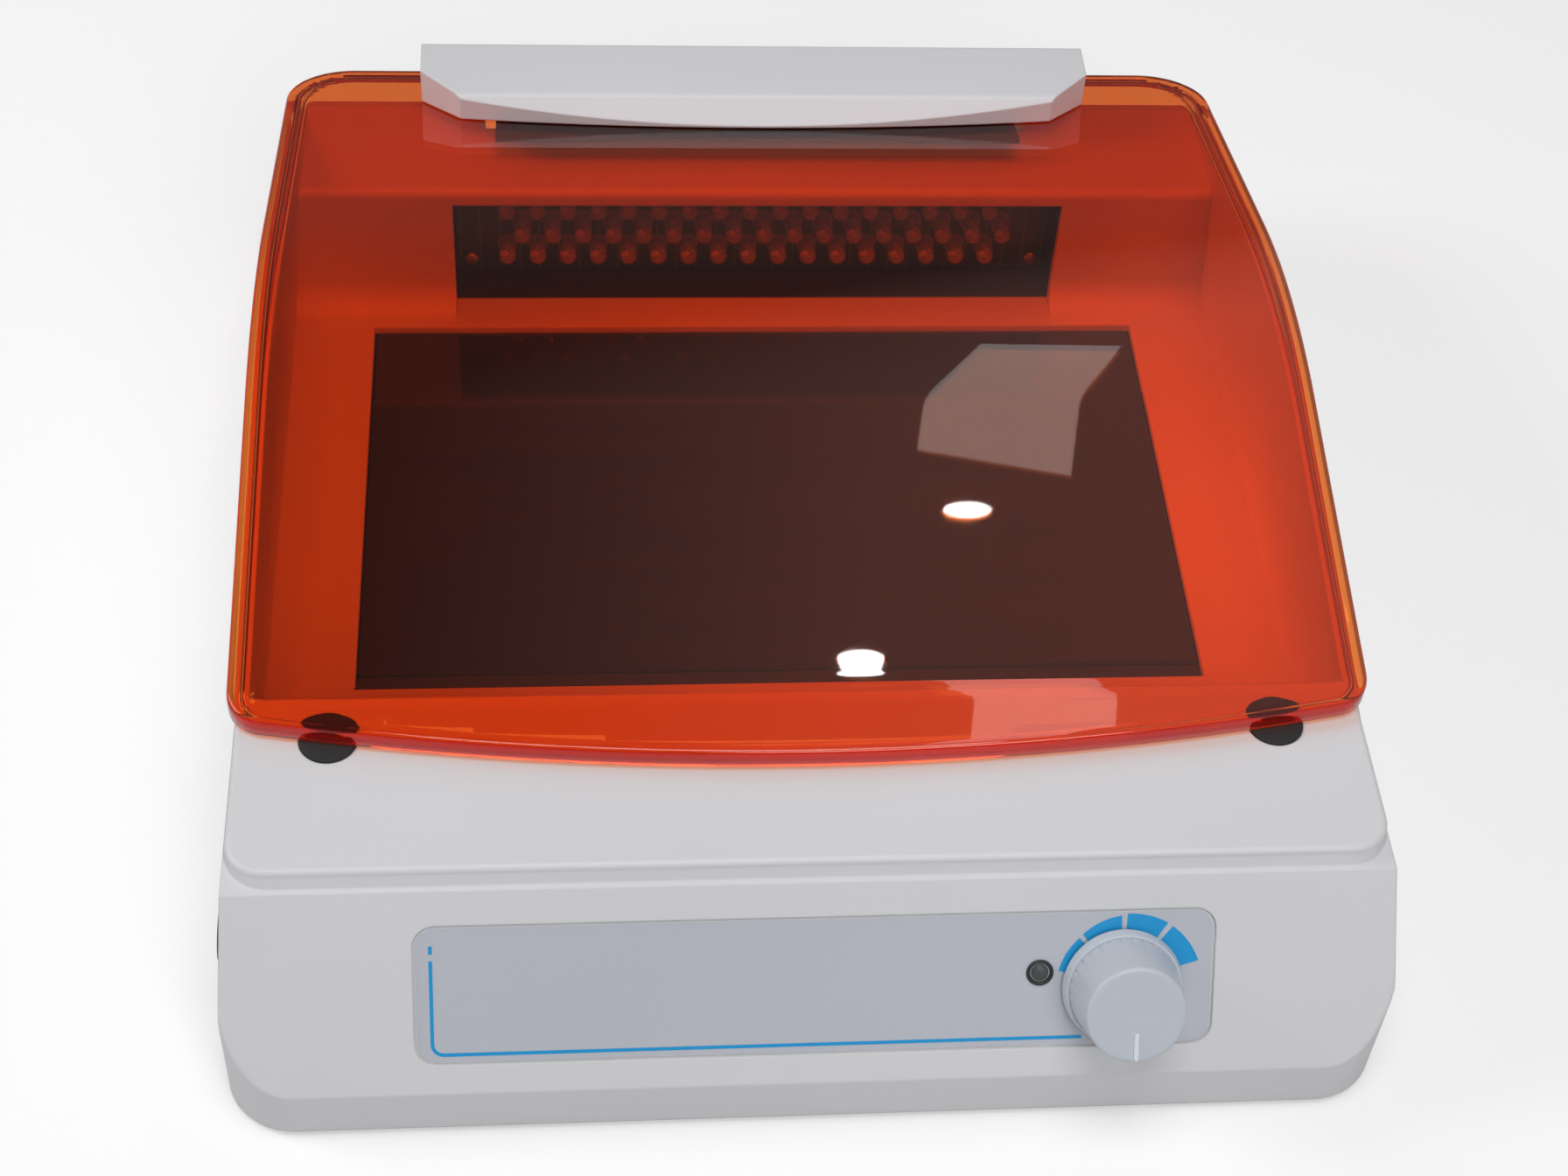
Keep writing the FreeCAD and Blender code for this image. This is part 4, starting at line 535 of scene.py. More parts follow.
def lathe(profile, steps, wobble=None):
    """A closed turned solid about Z from (radius, height) points, from axis to axis.

    wobble, if given, returns a share of the radius for an angle and a profile point.
    """
    mesh = bmesh.new()
    rings = []
    for radius, height in profile:
        if radius < 1e-7:
            rings.append([mesh.verts.new((0, 0, height))])
            continue
        ring = []
        for step in range(steps):
            turn = 2 * math.pi * step / steps
            reach = radius * (wobble(turn, radius, height) if wobble else 1.0)
            ring.append(mesh.verts.new((reach * math.cos(turn), reach * math.sin(turn), height)))
        rings.append(ring)
    pairs = list(zip(rings, rings[1:]))
    if len(rings[0]) > 1:
        pairs.append((rings[-1], rings[0]))
    for one, two in pairs:
        for step in range(steps):
            after = (step + 1) % steps
            corners = []
            for vert in (one[step % len(one)], one[after % len(one)], two[after % len(two)],
                         two[step % len(two)]):
                if vert not in corners:
                    corners.append(vert)
            if len(corners) > 2:
                mesh.faces.new(corners)
    bmesh.ops.recalc_face_normals(mesh, faces=mesh.faces)
    return mesh


def rounded_step(points, radius, steps=4):
    """A profile with its corners rounded; each point is (r, z) or (r, z, own radius)."""
    made = []
    for place, point in enumerate(points):
        here = Vector(point[:2])
        size = point[2] if len(point) > 2 else radius
        if place in (0, len(points) - 1) or size <= 0:
            made.append(tuple(here))
            continue
        to_last = Vector(points[place - 1][:2]) - here
        to_next = Vector(points[place + 1][:2]) - here
        reach = min(size, to_last.length * 0.45, to_next.length * 0.45)
        start = here + to_last.normalized() * reach
        end = here + to_next.normalized() * reach
        for step in range(steps + 1):
            share = step / steps
            made.append(tuple(start * (1 - share) ** 2 + here * 2 * share * (1 - share)
                              + end * share ** 2))
    return made


def rounded_loop(half, front, rear, radius, steps=10):
    """Rounded rectangle about the centre line as a list of plan points, anticlockwise."""
    right, left, back, ahead = half - radius, radius - half, rear - radius, front + radius
    points = []
    for turns, centre in enumerate(((right, back), (left, back), (left, ahead), (right, ahead))):
        points += arc(centre, radius, turns * 90, turns * 90 + 90, steps)
    return points


def offset(points, inset):
    """The closed plan loop drawn in by inset."""
    made = []
    count = len(points)
    for place in range(count):
        last, here, after = points[place - 1], points[place], points[(place + 1) % count]
        if (after - last).length < 1e-9:
            made.append(here.copy())
            continue
        along = (after - last).normalized()
        made.append(here + Vector((-along.y, along.x)) * inset)
    return made


def stack(loop, rows):
    """A closed shape from a plan loop: each row is (inset, height), both ends capped."""
    mesh = bmesh.new()
    bridge(mesh, [[mesh.verts.new((p.x, p.y, height)) for p in offset(loop, inset)]
                  for inset, height in rows])
    return mesh


# Geometry Nodes helpers.


def new_geometry_tree(name, inputs):
    """A geometry tree; each named input has a default value or else its kind of socket."""
    kinds = {float: "NodeSocketFloat", int: "NodeSocketInt", tuple: "NodeSocketVector"}
    tree = bpy.data.node_groups.new(name, "GeometryNodeTree")
    tree.interface.new_socket("Geometry", in_out="INPUT", socket_type="NodeSocketGeometry")
    for label, value in inputs.items():
        kind = kinds.get(type(value), value)
        socket = tree.interface.new_socket(label, in_out="INPUT", socket_type=kind)
        if kind != value:
            socket.default_value = value
    tree.interface.new_socket("Geometry", in_out="OUTPUT", socket_type="NodeSocketGeometry")
    return tree, tree.nodes.new("NodeGroupInput"), tree.nodes.new("NodeGroupOutput")


def apply_tree(name, base, make, values, sharp_angle):
    """Run a geometry tree on a base object and keep the result as a plain piece."""
    tree = once(make.__name__, make)
    modifier = base.modifiers.new("shape", "NODES")
    modifier.node_group = tree
    for item in tree.interface.items_tree:
        if item.in_out == "INPUT" and item.name in values:
            modifier[item.identifier] = values[item.name]
    made = evaluated(base)
    base.modifiers.remove(modifier)
    bpy.data.objects.remove(base)
    made.name = name
    smooth(made, sharp_angle)
    return link_object(name, made)


def shape_object(name, mesh, material):
    """A temporary object that a tree copies."""
    data = to_data(name, mesh)
    data.materials.append(material)
    return link_object(name, data)


def points_object(name, places):
    data = bpy.data.meshes.new(name)
    data.from_pydata([tuple(p) for p in places], [], [])
    return link_object(name, data)


def end_tree(tree, geometry, given, out):
    """Make the tree's result real and give it its finish."""
    real = tree.nodes.new("GeometryNodeRealizeInstances")
    finished = tree.nodes.new("GeometryNodeSetMaterial")
    tree.links.new(geometry, real.inputs["Geometry"])
    wire(tree, real, "Geometry", finished, "Geometry")
    wire(tree, given, "Finish", finished, "Material")
    wire(tree, finished, "Geometry", out, "Geometry")


def fastener_tree():
    """Instances of one shape on given places, turned the same way with a random twist."""
    tree, given, out = new_geometry_tree("fasteners", {
        "Shape": "NodeSocketObject", "Turn": (0.0, 0.0, 0.0), "Seed": 1,
        "Finish": "NodeSocketMaterial"})
    shape = tree.nodes.new("GeometryNodeObjectInfo")
    spots = tree.nodes.new("GeometryNodeMeshToPoints")
    place = tree.nodes.new("GeometryNodeInstanceOnPoints")
    twist = tree.nodes.new("FunctionNodeRandomValue")
    twist.data_type = "FLOAT"
    turned = tree.nodes.new("ShaderNodeCombineXYZ")
    spin = tree.nodes.new("GeometryNodeRotateInstances")
    wire(tree, given, "Shape", shape, "Object")
    wire(tree, given, "Geometry", spots, "Mesh")
    wire(tree, spots, "Points", place, "Points")
    wire(tree, shape, "Geometry", place, "Instance")
    wire(tree, given, "Turn", place, "Rotation")
    wire(tree, place, "Instances", spin, "Instances")
    least, most = [s for s in twist.inputs if s.enabled and s.name in ("Min", "Max")]
    least.default_value = 0.0
    most.default_value = math.pi / 2
    wire(tree, given, "Seed", twist, "Seed")
    value = [s for s in twist.outputs if s.enabled][0]
    tree.links.new(value, turned.inputs["Z"])
    wire(tree, turned, "Vector", spin, "Rotation")
    end_tree(tree, spin.outputs["Instances"], given, out)
    return tree


def array_tree():
    """Staggered rows of one shape, in the plane across the window."""
    tree, given, out = new_geometry_tree("staggered rows", {
        "Shape": "NodeSocketObject", "Columns": 17, "Rows": 3, "Pitch": 0.0085, "Rise": 0.0074,
        "Finish": "NodeSocketMaterial"})
    columns, rows = (Value(tree, given.outputs[label]) for label in ("Columns", "Rows"))
    shape = tree.nodes.new("GeometryNodeObjectInfo")
    wire(tree, given, "Shape", shape, "Object")
    line = tree.nodes.new("GeometryNodeMeshLine")
    (columns * rows).into(line, "Count")
    index = Value(tree, tree.nodes.new("GeometryNodeInputIndex").outputs[0])
    row = (index / columns).sum("FLOOR")
    across = index % columns + row % 2.0 * 0.5 - (columns - 0.5) / 2.0
    spot = tree.nodes.new("ShaderNodeCombineXYZ")
    (across * given.outputs["Pitch"]).into(spot, "X")
    (row * given.outputs["Rise"]).into(spot, "Z")
    move = tree.nodes.new("GeometryNodeSetPosition")
    wire(tree, line, "Mesh", move, "Geometry")
    wire(tree, spot, "Vector", move, "Position")
    place = tree.nodes.new("GeometryNodeInstanceOnPoints")
    wire(tree, move, "Geometry", place, "Points")
    wire(tree, shape, "Geometry", place, "Instance")
    end_tree(tree, place.outputs["Instances"], given, out)
    return tree


def arch_tree():
    """Lifts a flat sheet over the cover's rule: flat lip, two slopes, a round crown."""
    labels = ("Fold", "Lip", "Front Slope", "Rear", "Rear Height", "Rear Slope", "Crown Depth",
              "Crown Height", "Crown Radius", "Fold Softness")
    tree, given, out = new_geometry_tree(
        "arch", {**dict.fromkeys(labels, 0.0), "Finish": "NodeSocketMaterial"})
    (fold, lip, front_slope, rear, rear_height, rear_slope, crown_depth, crown_height, radius,
     softness) = (Value(tree, given.outputs[label]) for label in labels)
    parts = tree.nodes.new("ShaderNodeSeparateXYZ")
    tree.links.new(tree.nodes.new("GeometryNodeInputPosition").outputs[0], parts.inputs[0])
    y = Value(tree, parts.outputs["Y"])
    front = lip + ((y - fold) * front_slope).sum("SMOOTH_MAX", 0.0, softness)
    lines = front.sum("MINIMUM", rear_height + (rear - y) * rear_slope)
    away = y - crown_depth
    crown = crown_height + (radius * radius - away * away).sum("MAXIMUM", 0.0).sum("SQRT")
    start = radius * (front_slope.sum("ARCTANGENT").sum("SINE") * -1.0)
    end = radius * rear_slope.sum("ARCTANGENT").sum("SINE")
    inside = away.sum("GREATER_THAN", start) * away.sum("LESS_THAN", end)
    lift = tree.nodes.new("ShaderNodeCombineXYZ")
    (inside * crown + (inside * -1.0 + 1.0) * lines).into(lift, "Z")
    move = tree.nodes.new("GeometryNodeSetPosition")
    wire(tree, given, "Geometry", move, "Geometry")
    wire(tree, lift, "Vector", move, "Offset")
    end_tree(tree, move.outputs["Geometry"], given, out)
    return tree


# Cover.


FRONT_CORNER = 0.009
REAR_CORNER = 0.018
CORNER_BEHIND = 0.0115  # the front of the corner arcs, behind the middle of the lip
BOW = 0.0104  # how far the ends of the lip lie behind its middle
FOLD_BEHIND = 0.0185  # where the first slope starts, behind the middle of the lip
LIP_HEIGHT = 0.0659
APEX_DEPTH = 0.035
APEX_HEIGHT = 0.08639
REAR_HEIGHT = 0.0562
CROWN_RADIUS = 0.16
STRIPS = 90  # of the flat sheet, from front to rear
NOTCH_HALF = 0.0745
NOTCH_FRONT = 0.136
SHARP_COVER = 50.0


def cover_plan():
    """Outer plan of the cover: bowed front lip, rounded corners, straight sides."""
    box_low, box_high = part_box("viewing_cover")
    half = (box_high.x - box_low.x) / 2
    front, rear = box_low.y, box_high.y - REAR_CORNER
    side = front + CORNER_BEHIND + FRONT_CORNER
    points = arc((half - REAR_CORNER, rear), REAR_CORNER, 0, 90, 14)
    points += arc((REAR_CORNER - half, rear), REAR_CORNER, 90, 180, 14)
    points += arc((FRONT_CORNER - half, side), FRONT_CORNER, 180, 264, 8)
    bow_half = half - FRONT_CORNER * 1.6
    for step in range(41):
        share = step / 20 - 1
        points.append(Vector((bow_half * share, front + BOW * share * share)))
    return points + arc((half - FRONT_CORNER, side), FRONT_CORNER, 276, 360, 8)


def flat_cover(sheet, rim, lip_round):
    """The cover as a flat tray: rim turned down, thickness sheet, strips across for the arch."""
    outer = [(lip_round * (1 - math.sin(a)), -lip_round * (1 - math.cos(a)))
             for a in [math.radians(90 * s / 5) for s in range(6)]]
    foot, fillet, border = 0.0004, 0.001, 0.008
    profile = [(border, 0.0), (border / 2, 0.0)] + outer
    profile += [(0.0, -rim + foot), (foot, -rim), (sheet - foot, -rim), (sheet, -rim + foot),
                (sheet, -sheet - fillet), (sheet + fillet, -sheet), (border, -sheet)]
    mesh = stack(cover_plan(), profile)
    box_low, box_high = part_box("viewing_cover")
    for strip in range(1, STRIPS):
        depth = box_low.y + (box_high.y - box_low.y) * strip / STRIPS
        bmesh.ops.bisect_plane(mesh, geom=mesh.verts[:] + mesh.edges[:] + mesh.faces[:],
                               plane_co=(0, depth, 0), plane_no=(0, 1, 0))
    bmesh.ops.recalc_face_normals(mesh, faces=mesh.faces)
    return mesh


def arch_values():
    """The rule's numbers, read from the cover's own box and the drawn slopes."""
    box_low, box_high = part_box("viewing_cover")
    fold, rear = box_low.y + FOLD_BEHIND, box_high.y
    rise = (APEX_HEIGHT - LIP_HEIGHT) / (APEX_DEPTH - fold)
    fall = (APEX_HEIGHT - REAR_HEIGHT) / (rear - APEX_DEPTH)
    turn = (math.atan(rise) + math.atan(fall)) / 2
    lean = (math.atan(fall) - math.atan(rise)) / 2
    reach = CROWN_RADIUS / math.cos(turn)
    return {
        "Fold": fold, "Lip": LIP_HEIGHT, "Front Slope": rise, "Rear": rear,
        "Rear Height": REAR_HEIGHT, "Rear Slope": fall,
        "Crown Depth": APEX_DEPTH - reach * math.sin(lean),
        "Crown Height": APEX_HEIGHT - reach * math.cos(lean),
        "Crown Radius": CROWN_RADIUS, "Fold Softness": 0.0006,
    }


def cut_notch(piece):
    """Cut the hinge bar's notch through the rear rim."""
    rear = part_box("viewing_cover")[1].y
    size = Vector((NOTCH_HALF * 2, rear - NOTCH_FRONT + 0.01, 0.1))
    mesh = bmesh.new()
    add_cube(mesh, (0, NOTCH_FRONT + size.y / 2, 0.06), size)
    tool = link_object("notch", to_data("notch", mesh))
    cutter = piece.modifiers.new("notch", "BOOLEAN")
    cutter.operation = "DIFFERENCE"
    cutter.solver = "EXACT"
    cutter.object = tool
    made = evaluated(piece)
    piece.modifiers.remove(cutter)
    bpy.data.objects.remove(tool)
    old = piece.data
    piece.data = made
    bpy.data.meshes.remove(old)
    made.name = piece.name
    made.set_sharp_from_angle(angle=math.radians(SHARP_COVER))


class TRANSIL_OT_cover(bpy.types.Operator):
    """Form the amber cover over its arch and cut its notch for the hinge bar"""

    bl_idname = "transil.cover"
    bl_label = "Amber cover"

    def execute(self, context):
        looks = context.scene.cover_looks
        mesh = flat_cover(looks.sheet, looks.rim, looks.lip_round)
        base = link_object("cover_flat", to_data("cover_flat", mesh))
        values = arch_values()
        values["Finish"] = finish(amber_sheet, "amber acrylic", looks, looks.amber, 1.0)
        piece = apply_tree("cover_sheet", base, arch_tree, values, SHARP_COVER)
        cut_notch(piece)
        piece.data.materials.append(
            finish(amber_sheet, "amber acrylic edge", looks, looks.deep, 0.75))
        for face in piece.data.polygons:
            if abs(face.normal.z) < 0.5:
                face.material_index = 1
        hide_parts("viewing_cover")
        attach(piece, "cover")
        return {"FINISHED"}


# Housing, stage and light source.


class TRANSIL_OT_housing(bpy.types.Operator):
    """Finish the white housing, the base plate and the feet"""

    bl_idname = "transil.housing"
    bl_label = "Housing and base"

    def execute(self, context):
        looks = context.scene.housing_looks
        paint(finish(plastic, "white moulding", looks.white, 0.42, round_edge=looks.edge),
              "upper_housing", "hinge_bar")
        paint(finish(plastic, "base plate", looks.base, 0.55, round_edge=0.0004), "base_plate")
        paint(rubber(), "rubber_feet")
        return {"FINISHED"}


class TRANSIL_OT_stage(bpy.types.Operator):
    """Finish the dark glass stage and the pan that carries it"""

    bl_idname = "transil.stage"
    bl_label = "Sample stage"

    def execute(self, context):
        paint(finish(stage_glass, "black stage glass"), "stage_plate")
        paint(black_plastic(), "stage_frame")
        return {"FINISHED"}


FLANGE_OVER = 0.0004  # an LED's flange beyond its lens
FLANGE_THICK = 0.001


def led_shape(radius, long):
    """One bullet LED along Z: flange at zero, round nose at the top."""
    flange = radius + FLANGE_OVER
    profile = [(0, 0), (flange, 0), (flange, FLANGE_THICK), (radius, FLANGE_THICK + 0.0001),
               (radius, long - radius)]
    for step in range(1, 5):
        turn = math.radians(90 * step / 5)
        profile.append((radius * math.cos(turn), long - radius + radius * math.sin(turn)))
    profile.append((0, long))
    return lathe(profile, 14)


def lead_shape(long):
    """Lead frame inside an LED: two posts, one with a cup."""
    mesh = bmesh.new()
    for x, wide, top in ((-0.0006, 0.0007, long * 0.52), (0.0007, 0.0005, long * 0.56)):
        add_cube(mesh, (x, 0, top / 2 + 0.0002), (wide, 0.0005, top - 0.0003))
    cup = bmesh.ops.create_cone(mesh, segments=8, radius1=0.0004, radius2=0.0008,
                                depth=0.0008, cap_ends=True)
    bmesh.ops.transform(mesh, verts=cup["verts"],
                        matrix=Matrix.Translation((-0.0006, 0, long * 0.52 + 0.0006)))
    bmesh.ops.recalc_face_normals(mesh, faces=mesh.faces)
    return mesh


class TRANSIL_OT_lamps(bpy.types.Operator):
    """Build the rows of LEDs and finish the board, chamber and heat sink"""

    bl_idname = "transil.lamps"
    bl_label = "LED light source"

    def execute(self, context):
        looks = context.scene.lamp_looks
        box_low, box_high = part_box("led_array")
        long = box_high.y - box_low.y
        first = box_low.z + looks.radius + FLANGE_OVER
        to_front = (Matrix.Translation((0, box_high.y, first))
                    @ Matrix.Rotation(math.pi / 2, 4, "X"))
        for name, mesh, material in (
                ("led_lenses", led_shape(looks.radius, long),
                 finish(clear_lens, "clear lens", looks)),
                ("led_leads", lead_shape(long),
                 finish(metal, "tinned lead", (0.55, 0.55, 0.55), 0.3))):
            mesh.transform(to_front)
            shape = shape_object(name + "_shape", mesh, material)
            base = points_object(name + "_base", [(0, 0, 0)])
            piece = apply_tree(name, base, array_tree, {
                "Shape": shape, "Columns": looks.columns, "Rows": looks.rows,
                "Pitch": looks.pitch, "Rise": looks.rise, "Finish": material}, 40.0)
            bpy.data.objects.remove(shape)
            if name == "led_lenses":
                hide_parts("led_array")
            "led_lens" if name == "led_lenses" else "bright_steel"
            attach(piece, "base")
        paint(board(), "led_board")
        paint(black_plastic(), "led_chamber")
        paint(finish(metal, "extruded aluminium", (0.6, 0.6, 0.6), 0.35, (2000.0, 40.0, 40.0)),
              "led_heat_sink")
        return {"FINISHED"}


# Console.


PANEL_HALF = 0.0887
PANEL_TALL = 0.032
PANEL_CORNER = 0.0047
PANEL_THICK = 0.0005
PANEL_EDGE = 0.0003
INK_THICK = 0.00006
SCALE_INNER = 0.0132
SCALE_BARS = (  # start and end in degrees, outer radius at each
    (166, 131, 0.0148, 0.0150),
    (127, 91.5, 0.0152, 0.0164),
    (87, 55, 0.0168, 0.0176),
    (50.5, 17, 0.0176, 0.0181),
)
LINE_LEFT = -0.0851
LINE_TOP = 0.0081
LINE_LOW = -0.014
LINE_RIGHT = 0.0593
LINE_ROUND = 0.0025
LINE_WIDTH = 0.0008
DASH_ABOVE = (0.0016, 0.0035)  # foot and top of the short dash over the line


def on_panel(point):
    """A point of the frame in panel coordinates, from the middle of the panel's underside."""
    return console_matrix(panel_origin()).inverted() @ point


def panel_origin():
    return middle("control_overlay") - FACE_OUT * PANEL_THICK / 2


def lamp_origin():
    """On the panel's upper face, at the indicator's own height up the slope."""
    across, rise = on_panel(middle("indicator_holder")).x, on_panel(middle("indicator_led")).y
    return panel_origin() + ACROSS * across + FACE_UP * rise + FACE_OUT * PANEL_THICK


def printed_bar(mesh, start, end, first, last, steps=16):
    """A printed arc about the origin whose outer edge may widen along it."""
    rows = []
    for step in range(steps + 1):
        share = step / steps
        turn = math.radians(start + (end - start) * share)
        outer = first + (last - first) * share
        ray = Vector((math.cos(turn), math.sin(turn), 0))
        rows.append([mesh.verts.new(ray * r + Vector((0, 0, z))) for r, z in (
            (SCALE_INNER, 0), (outer, 0), (outer, INK_THICK), (SCALE_INNER, INK_THICK))])
    bridge(mesh, rows)


def printed_line(mesh, points):
    """A printed line of even width through plan points."""
    rows = []
    for place, here in enumerate(points):
        last = points[max(0, place - 1)]
        after = points[min(len(points) - 1, place + 1)]
        along = (after - last).normalized()
        side = Vector((-along.y, along.x)) * LINE_WIDTH / 2
        left, right = here + side, here - side
        rows.append([mesh.verts.new((p.x, p.y, z)) for p, z in (
            (left, 0), (right, 0), (right, INK_THICK), (left, INK_THICK))])
    bridge(mesh, rows)


class TRANSIL_OT_console(bpy.types.Operator):
    """Lay the label panel with its printed scale, and fit the indicator"""

    bl_idname = "transil.console"
    bl_label = "Control panel"

    def execute(self, context):
        looks = context.scene.housing_looks
        self.film(looks)
        self.markings(looks)
        self.indicator()
        return {"FINISHED"}

    def film(self, looks):
        """The film; its cut edge is a paler grey, a painted highlight."""
        mesh = stack(rounded_loop(PANEL_HALF, -PANEL_TALL / 2, PANEL_TALL / 2, PANEL_CORNER),
                     [(0, 0), (0, PANEL_THICK - PANEL_EDGE), (PANEL_EDGE, PANEL_THICK)])
        bmesh.ops.recalc_face_normals(mesh, faces=mesh.faces)
        mesh.transform(console_matrix(panel_origin()))
        panel = to_object("label_panel", mesh, finish(
            plastic, "printed film", looks.panel, 0.4, 0.00002, 3500.0), 30.0)
        # The edge faces get a near-white grey as a painted highlight along the film's cut edge.
        panel.data.materials.append(finish(
            plastic, "clear film edge", (0.8, 0.8, 0.82), 0.3, 0.00001))
        for face in panel.data.polygons:
            if abs(face.normal.dot(FACE_OUT)) < 0.9:
                face.material_index = 1
        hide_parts("control_overlay")
        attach(panel, "base")

    def markings(self, looks):
        """The scale's bars round the knob, the long line with its bend, and its dash."""
        mesh = bmesh.new()
        for bar in SCALE_BARS:
            printed_bar(mesh, *bar)
        knob = on_panel(DIAL_CENTRE)
        mesh.transform(Matrix.Translation(Vector((knob.x, knob.y, 0))))
        bend = arc((LINE_LEFT + LINE_ROUND, LINE_LOW + LINE_ROUND), LINE_ROUND, 180, 270, 6)
        printed_line(mesh, [Vector((LINE_LEFT, LINE_TOP)), *bend,
                            Vector((LINE_RIGHT, LINE_LOW))])
        printed_line(mesh, [Vector((LINE_LEFT, LINE_TOP + above)) for above in DASH_ABOVE])
        bmesh.ops.recalc_face_normals(mesh, faces=mesh.faces)
        mesh.transform(console_matrix(panel_origin())
                       @ Matrix.Translation(Vector((0, 0, PANEL_THICK))))
        ink = to_object("panel_print", mesh, finish(
            plastic, "blue ink", looks.ink, 0.4, 0.00001, 3500.0), 60.0)
        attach(ink, "base")

    def indicator(self):
        matrix = console_matrix(lamp_origin())
        bezel = lathe(rounded_step([(0.0021, -0.004), (0.0026, -0.004), (0.0026, 0.0001),
                                    (0.0031, 0.0001), (0.0031, 0.0003), (0.0027, 0.0006),
                                    (0.0022, 0.0003), (0.0021, -0.0006)], 0.00025), 48)
        bezel.transform(matrix)
        ring = to_object("indicator_bezel", bezel, black_plastic(), 50.0)
        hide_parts("indicator_holder")
        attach(ring, "base")
        lens = lathe([(0, -0.006), (0.0020, -0.006), (0.0020, 0.0001), (0.0018, 0.0004),
                      (0.0012, 0.0006), (0.0005, 0.0007), (0, 0.0007)], 32)
        lens.transform(matrix)
        dome = to_object("indicator_lens", lens, finish(
            plastic, "smoked lens", (0.07, 0.08, 0.085), 0.35, 0.00001, 900.0, specular=0.3), 60.0)
        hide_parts("indicator_led")
        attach(dome, "base")


KNOB_SKIRT = 0.0137
KNOB_CAP = 0.0112
KNOB_TALL = 0.0178
KNOB_FOOT = 0.0009  # height of the skirt's foot over the place of the dial's joint
NOTCHES = 30
NOTCH_DEEP = 0.05  # as a share of the radius
NOTCH_BAND = (0.0036, 0.0047)
RIB_INNER = 0.0042
RIB_WIDE = 0.0009
RIB_TALL = 0.0013


def knob_profile(skirt, cap, tall):
    """Outline of the dimmer knob from the axis over its face and down to its open foot."""
    base = KNOB_FOOT
    points = [(0, tall - 0.0007), (cap - 0.003, tall - 0.0006, 0.001),
              (cap - 0.0001, tall - 0.0005, 0.0009), (cap + 0.0011, base + 0.0042, 0),
              (cap + 0.00116, base + 0.0036, 0), (cap + 0.0012, base + 0.003, 0),
              (cap + 0.00125, base + 0.0024, 0), (cap + 0.0013, base + 0.0019, 0),
              (skirt - 0.0015, base + 0.0019, 0), (skirt - 0.0012, base + 0.0026, 0.0002),
              (skirt - 0.0006, base + 0.0026, 0.0002), (skirt, base + 0.0002, 0.0001),
              (skirt - 0.0002, base, 0), (0.0096, base, 0), (0.009, base + 0.002, 0),
              (0.0031, base + 0.002, 0), (0.0031, base + 0.012, 0), (0, base + 0.012)]
    return rounded_step(points, 0.0003)


def knob_notch(turn, radius, height):
    """Share of the radius that the notches round the cap's foot leave."""
    if not (NOTCH_BAND[0] < height < NOTCH_BAND[1] and radius < KNOB_CAP + 0.0014):
        return 1.0
    return 1.0 - NOTCH_DEEP * max(0.0, math.cos(turn * NOTCHES)) ** 3


class TRANSIL_OT_knob(bpy.types.Operator):
    """Turn the dimmer knob, with its notched foot and raised pointer"""

    bl_idname = "transil.knob"
    bl_label = "Dimmer knob"

    def execute(self, context):
        looks = context.scene.housing_looks
        matrix = console_matrix(DIAL_CENTRE)
        mesh = lathe(knob_profile(KNOB_SKIRT, KNOB_CAP, KNOB_TALL), 360, knob_notch)
        mesh.transform(matrix)
        rib_outer = KNOB_CAP - 0.0007
        rib = bmesh.new()
        add_cube(rib, (0, -(RIB_INNER + rib_outer) / 2, KNOB_TALL - 0.00045),
                 (RIB_WIDE, rib_outer - RIB_INNER, RIB_TALL))
        bmesh.ops.bevel(rib, geom=rib.edges[:], offset=0.0002, segments=2, affect="EDGES")
        rib.transform(matrix)
        knob = to_object("knob_body", mesh, finish(
            plastic, "satin grey", looks.knob, 0.34, 0.00002, 3000.0), 40.0)
        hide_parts("dimmer_knob")
        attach(knob, "dial")
        # The pointer is the knob's own grey made 1.4 times lighter: a painted highlight along the
        # raised rib.
        pointer = to_object("knob_pointer", rib, finish(
            plastic, "pale pointer", shade(looks.knob, 1.4), 0.34, 0.00002, 3000.0), 50.0)
        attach(pointer, "dial")
        paint(steel(), "potentiometer_body", "potentiometer_shaft", "potentiometer_nut")
        return {"FINISHED"}


# Fasteners and fittings.


SHANK = 0.0012
THREAD_PITCH = 0.0009
SCREW_SETS = {  # body, way the shank points, radius and height of the head
    "base_screws": ("base", "up", 0.003, 0.0011),
    "stage_screws": ("base", "up", 0.0023, 0.0014),
    "clamp_screws": ("cover", "up", 0.0023, 0.0012),
    "driver_screws": ("base", "down", 0.0023, 0.0014),
    "bracket_screws": ("base", "down", 0.0023, 0.0014),
    "led_board_screws": ("base", "back", 0.0022, 0.0014),
}
SCREW_TURNS = {"up": (0, 0, 0), "down": (math.pi, 0, 0), "back": (-math.pi / 2, 0, 0)}


def screw_shape(head, head_tall, long):
    """A pan-head screw, its cross a hair proud, along Z: head below zero, shank above."""
    profile = [(0, -head_tall)]
    for step in range(1, 5):
        turn = math.radians(90 * step / 4)
        profile.append((head * (0.55 + 0.45 * math.sin(turn)),
                        -head_tall + head_tall * 0.5 * (1 - math.cos(turn))))
    profile += [(head, -0.0001), (head - 0.0001, 0), (SHANK, 0)]
    threads = max(3, int(long / THREAD_PITCH))
    for thread in range(threads):
        start = long * thread / threads
        profile += [(SHANK * 0.82, start + long * 0.25 / threads),
                    (SHANK, start + long * 0.75 / threads)]
    profile += [(SHANK * 0.7, long), (0, long)]
    mesh = lathe(profile, 16)
    for turn in (0, math.pi / 2):
        add_cube(mesh, (0, 0, -head_tall + 0.00002), (head * 1.1, head * 0.26, 0.00012),
                 Matrix.Rotation(turn, 4, "Z"))
    return mesh


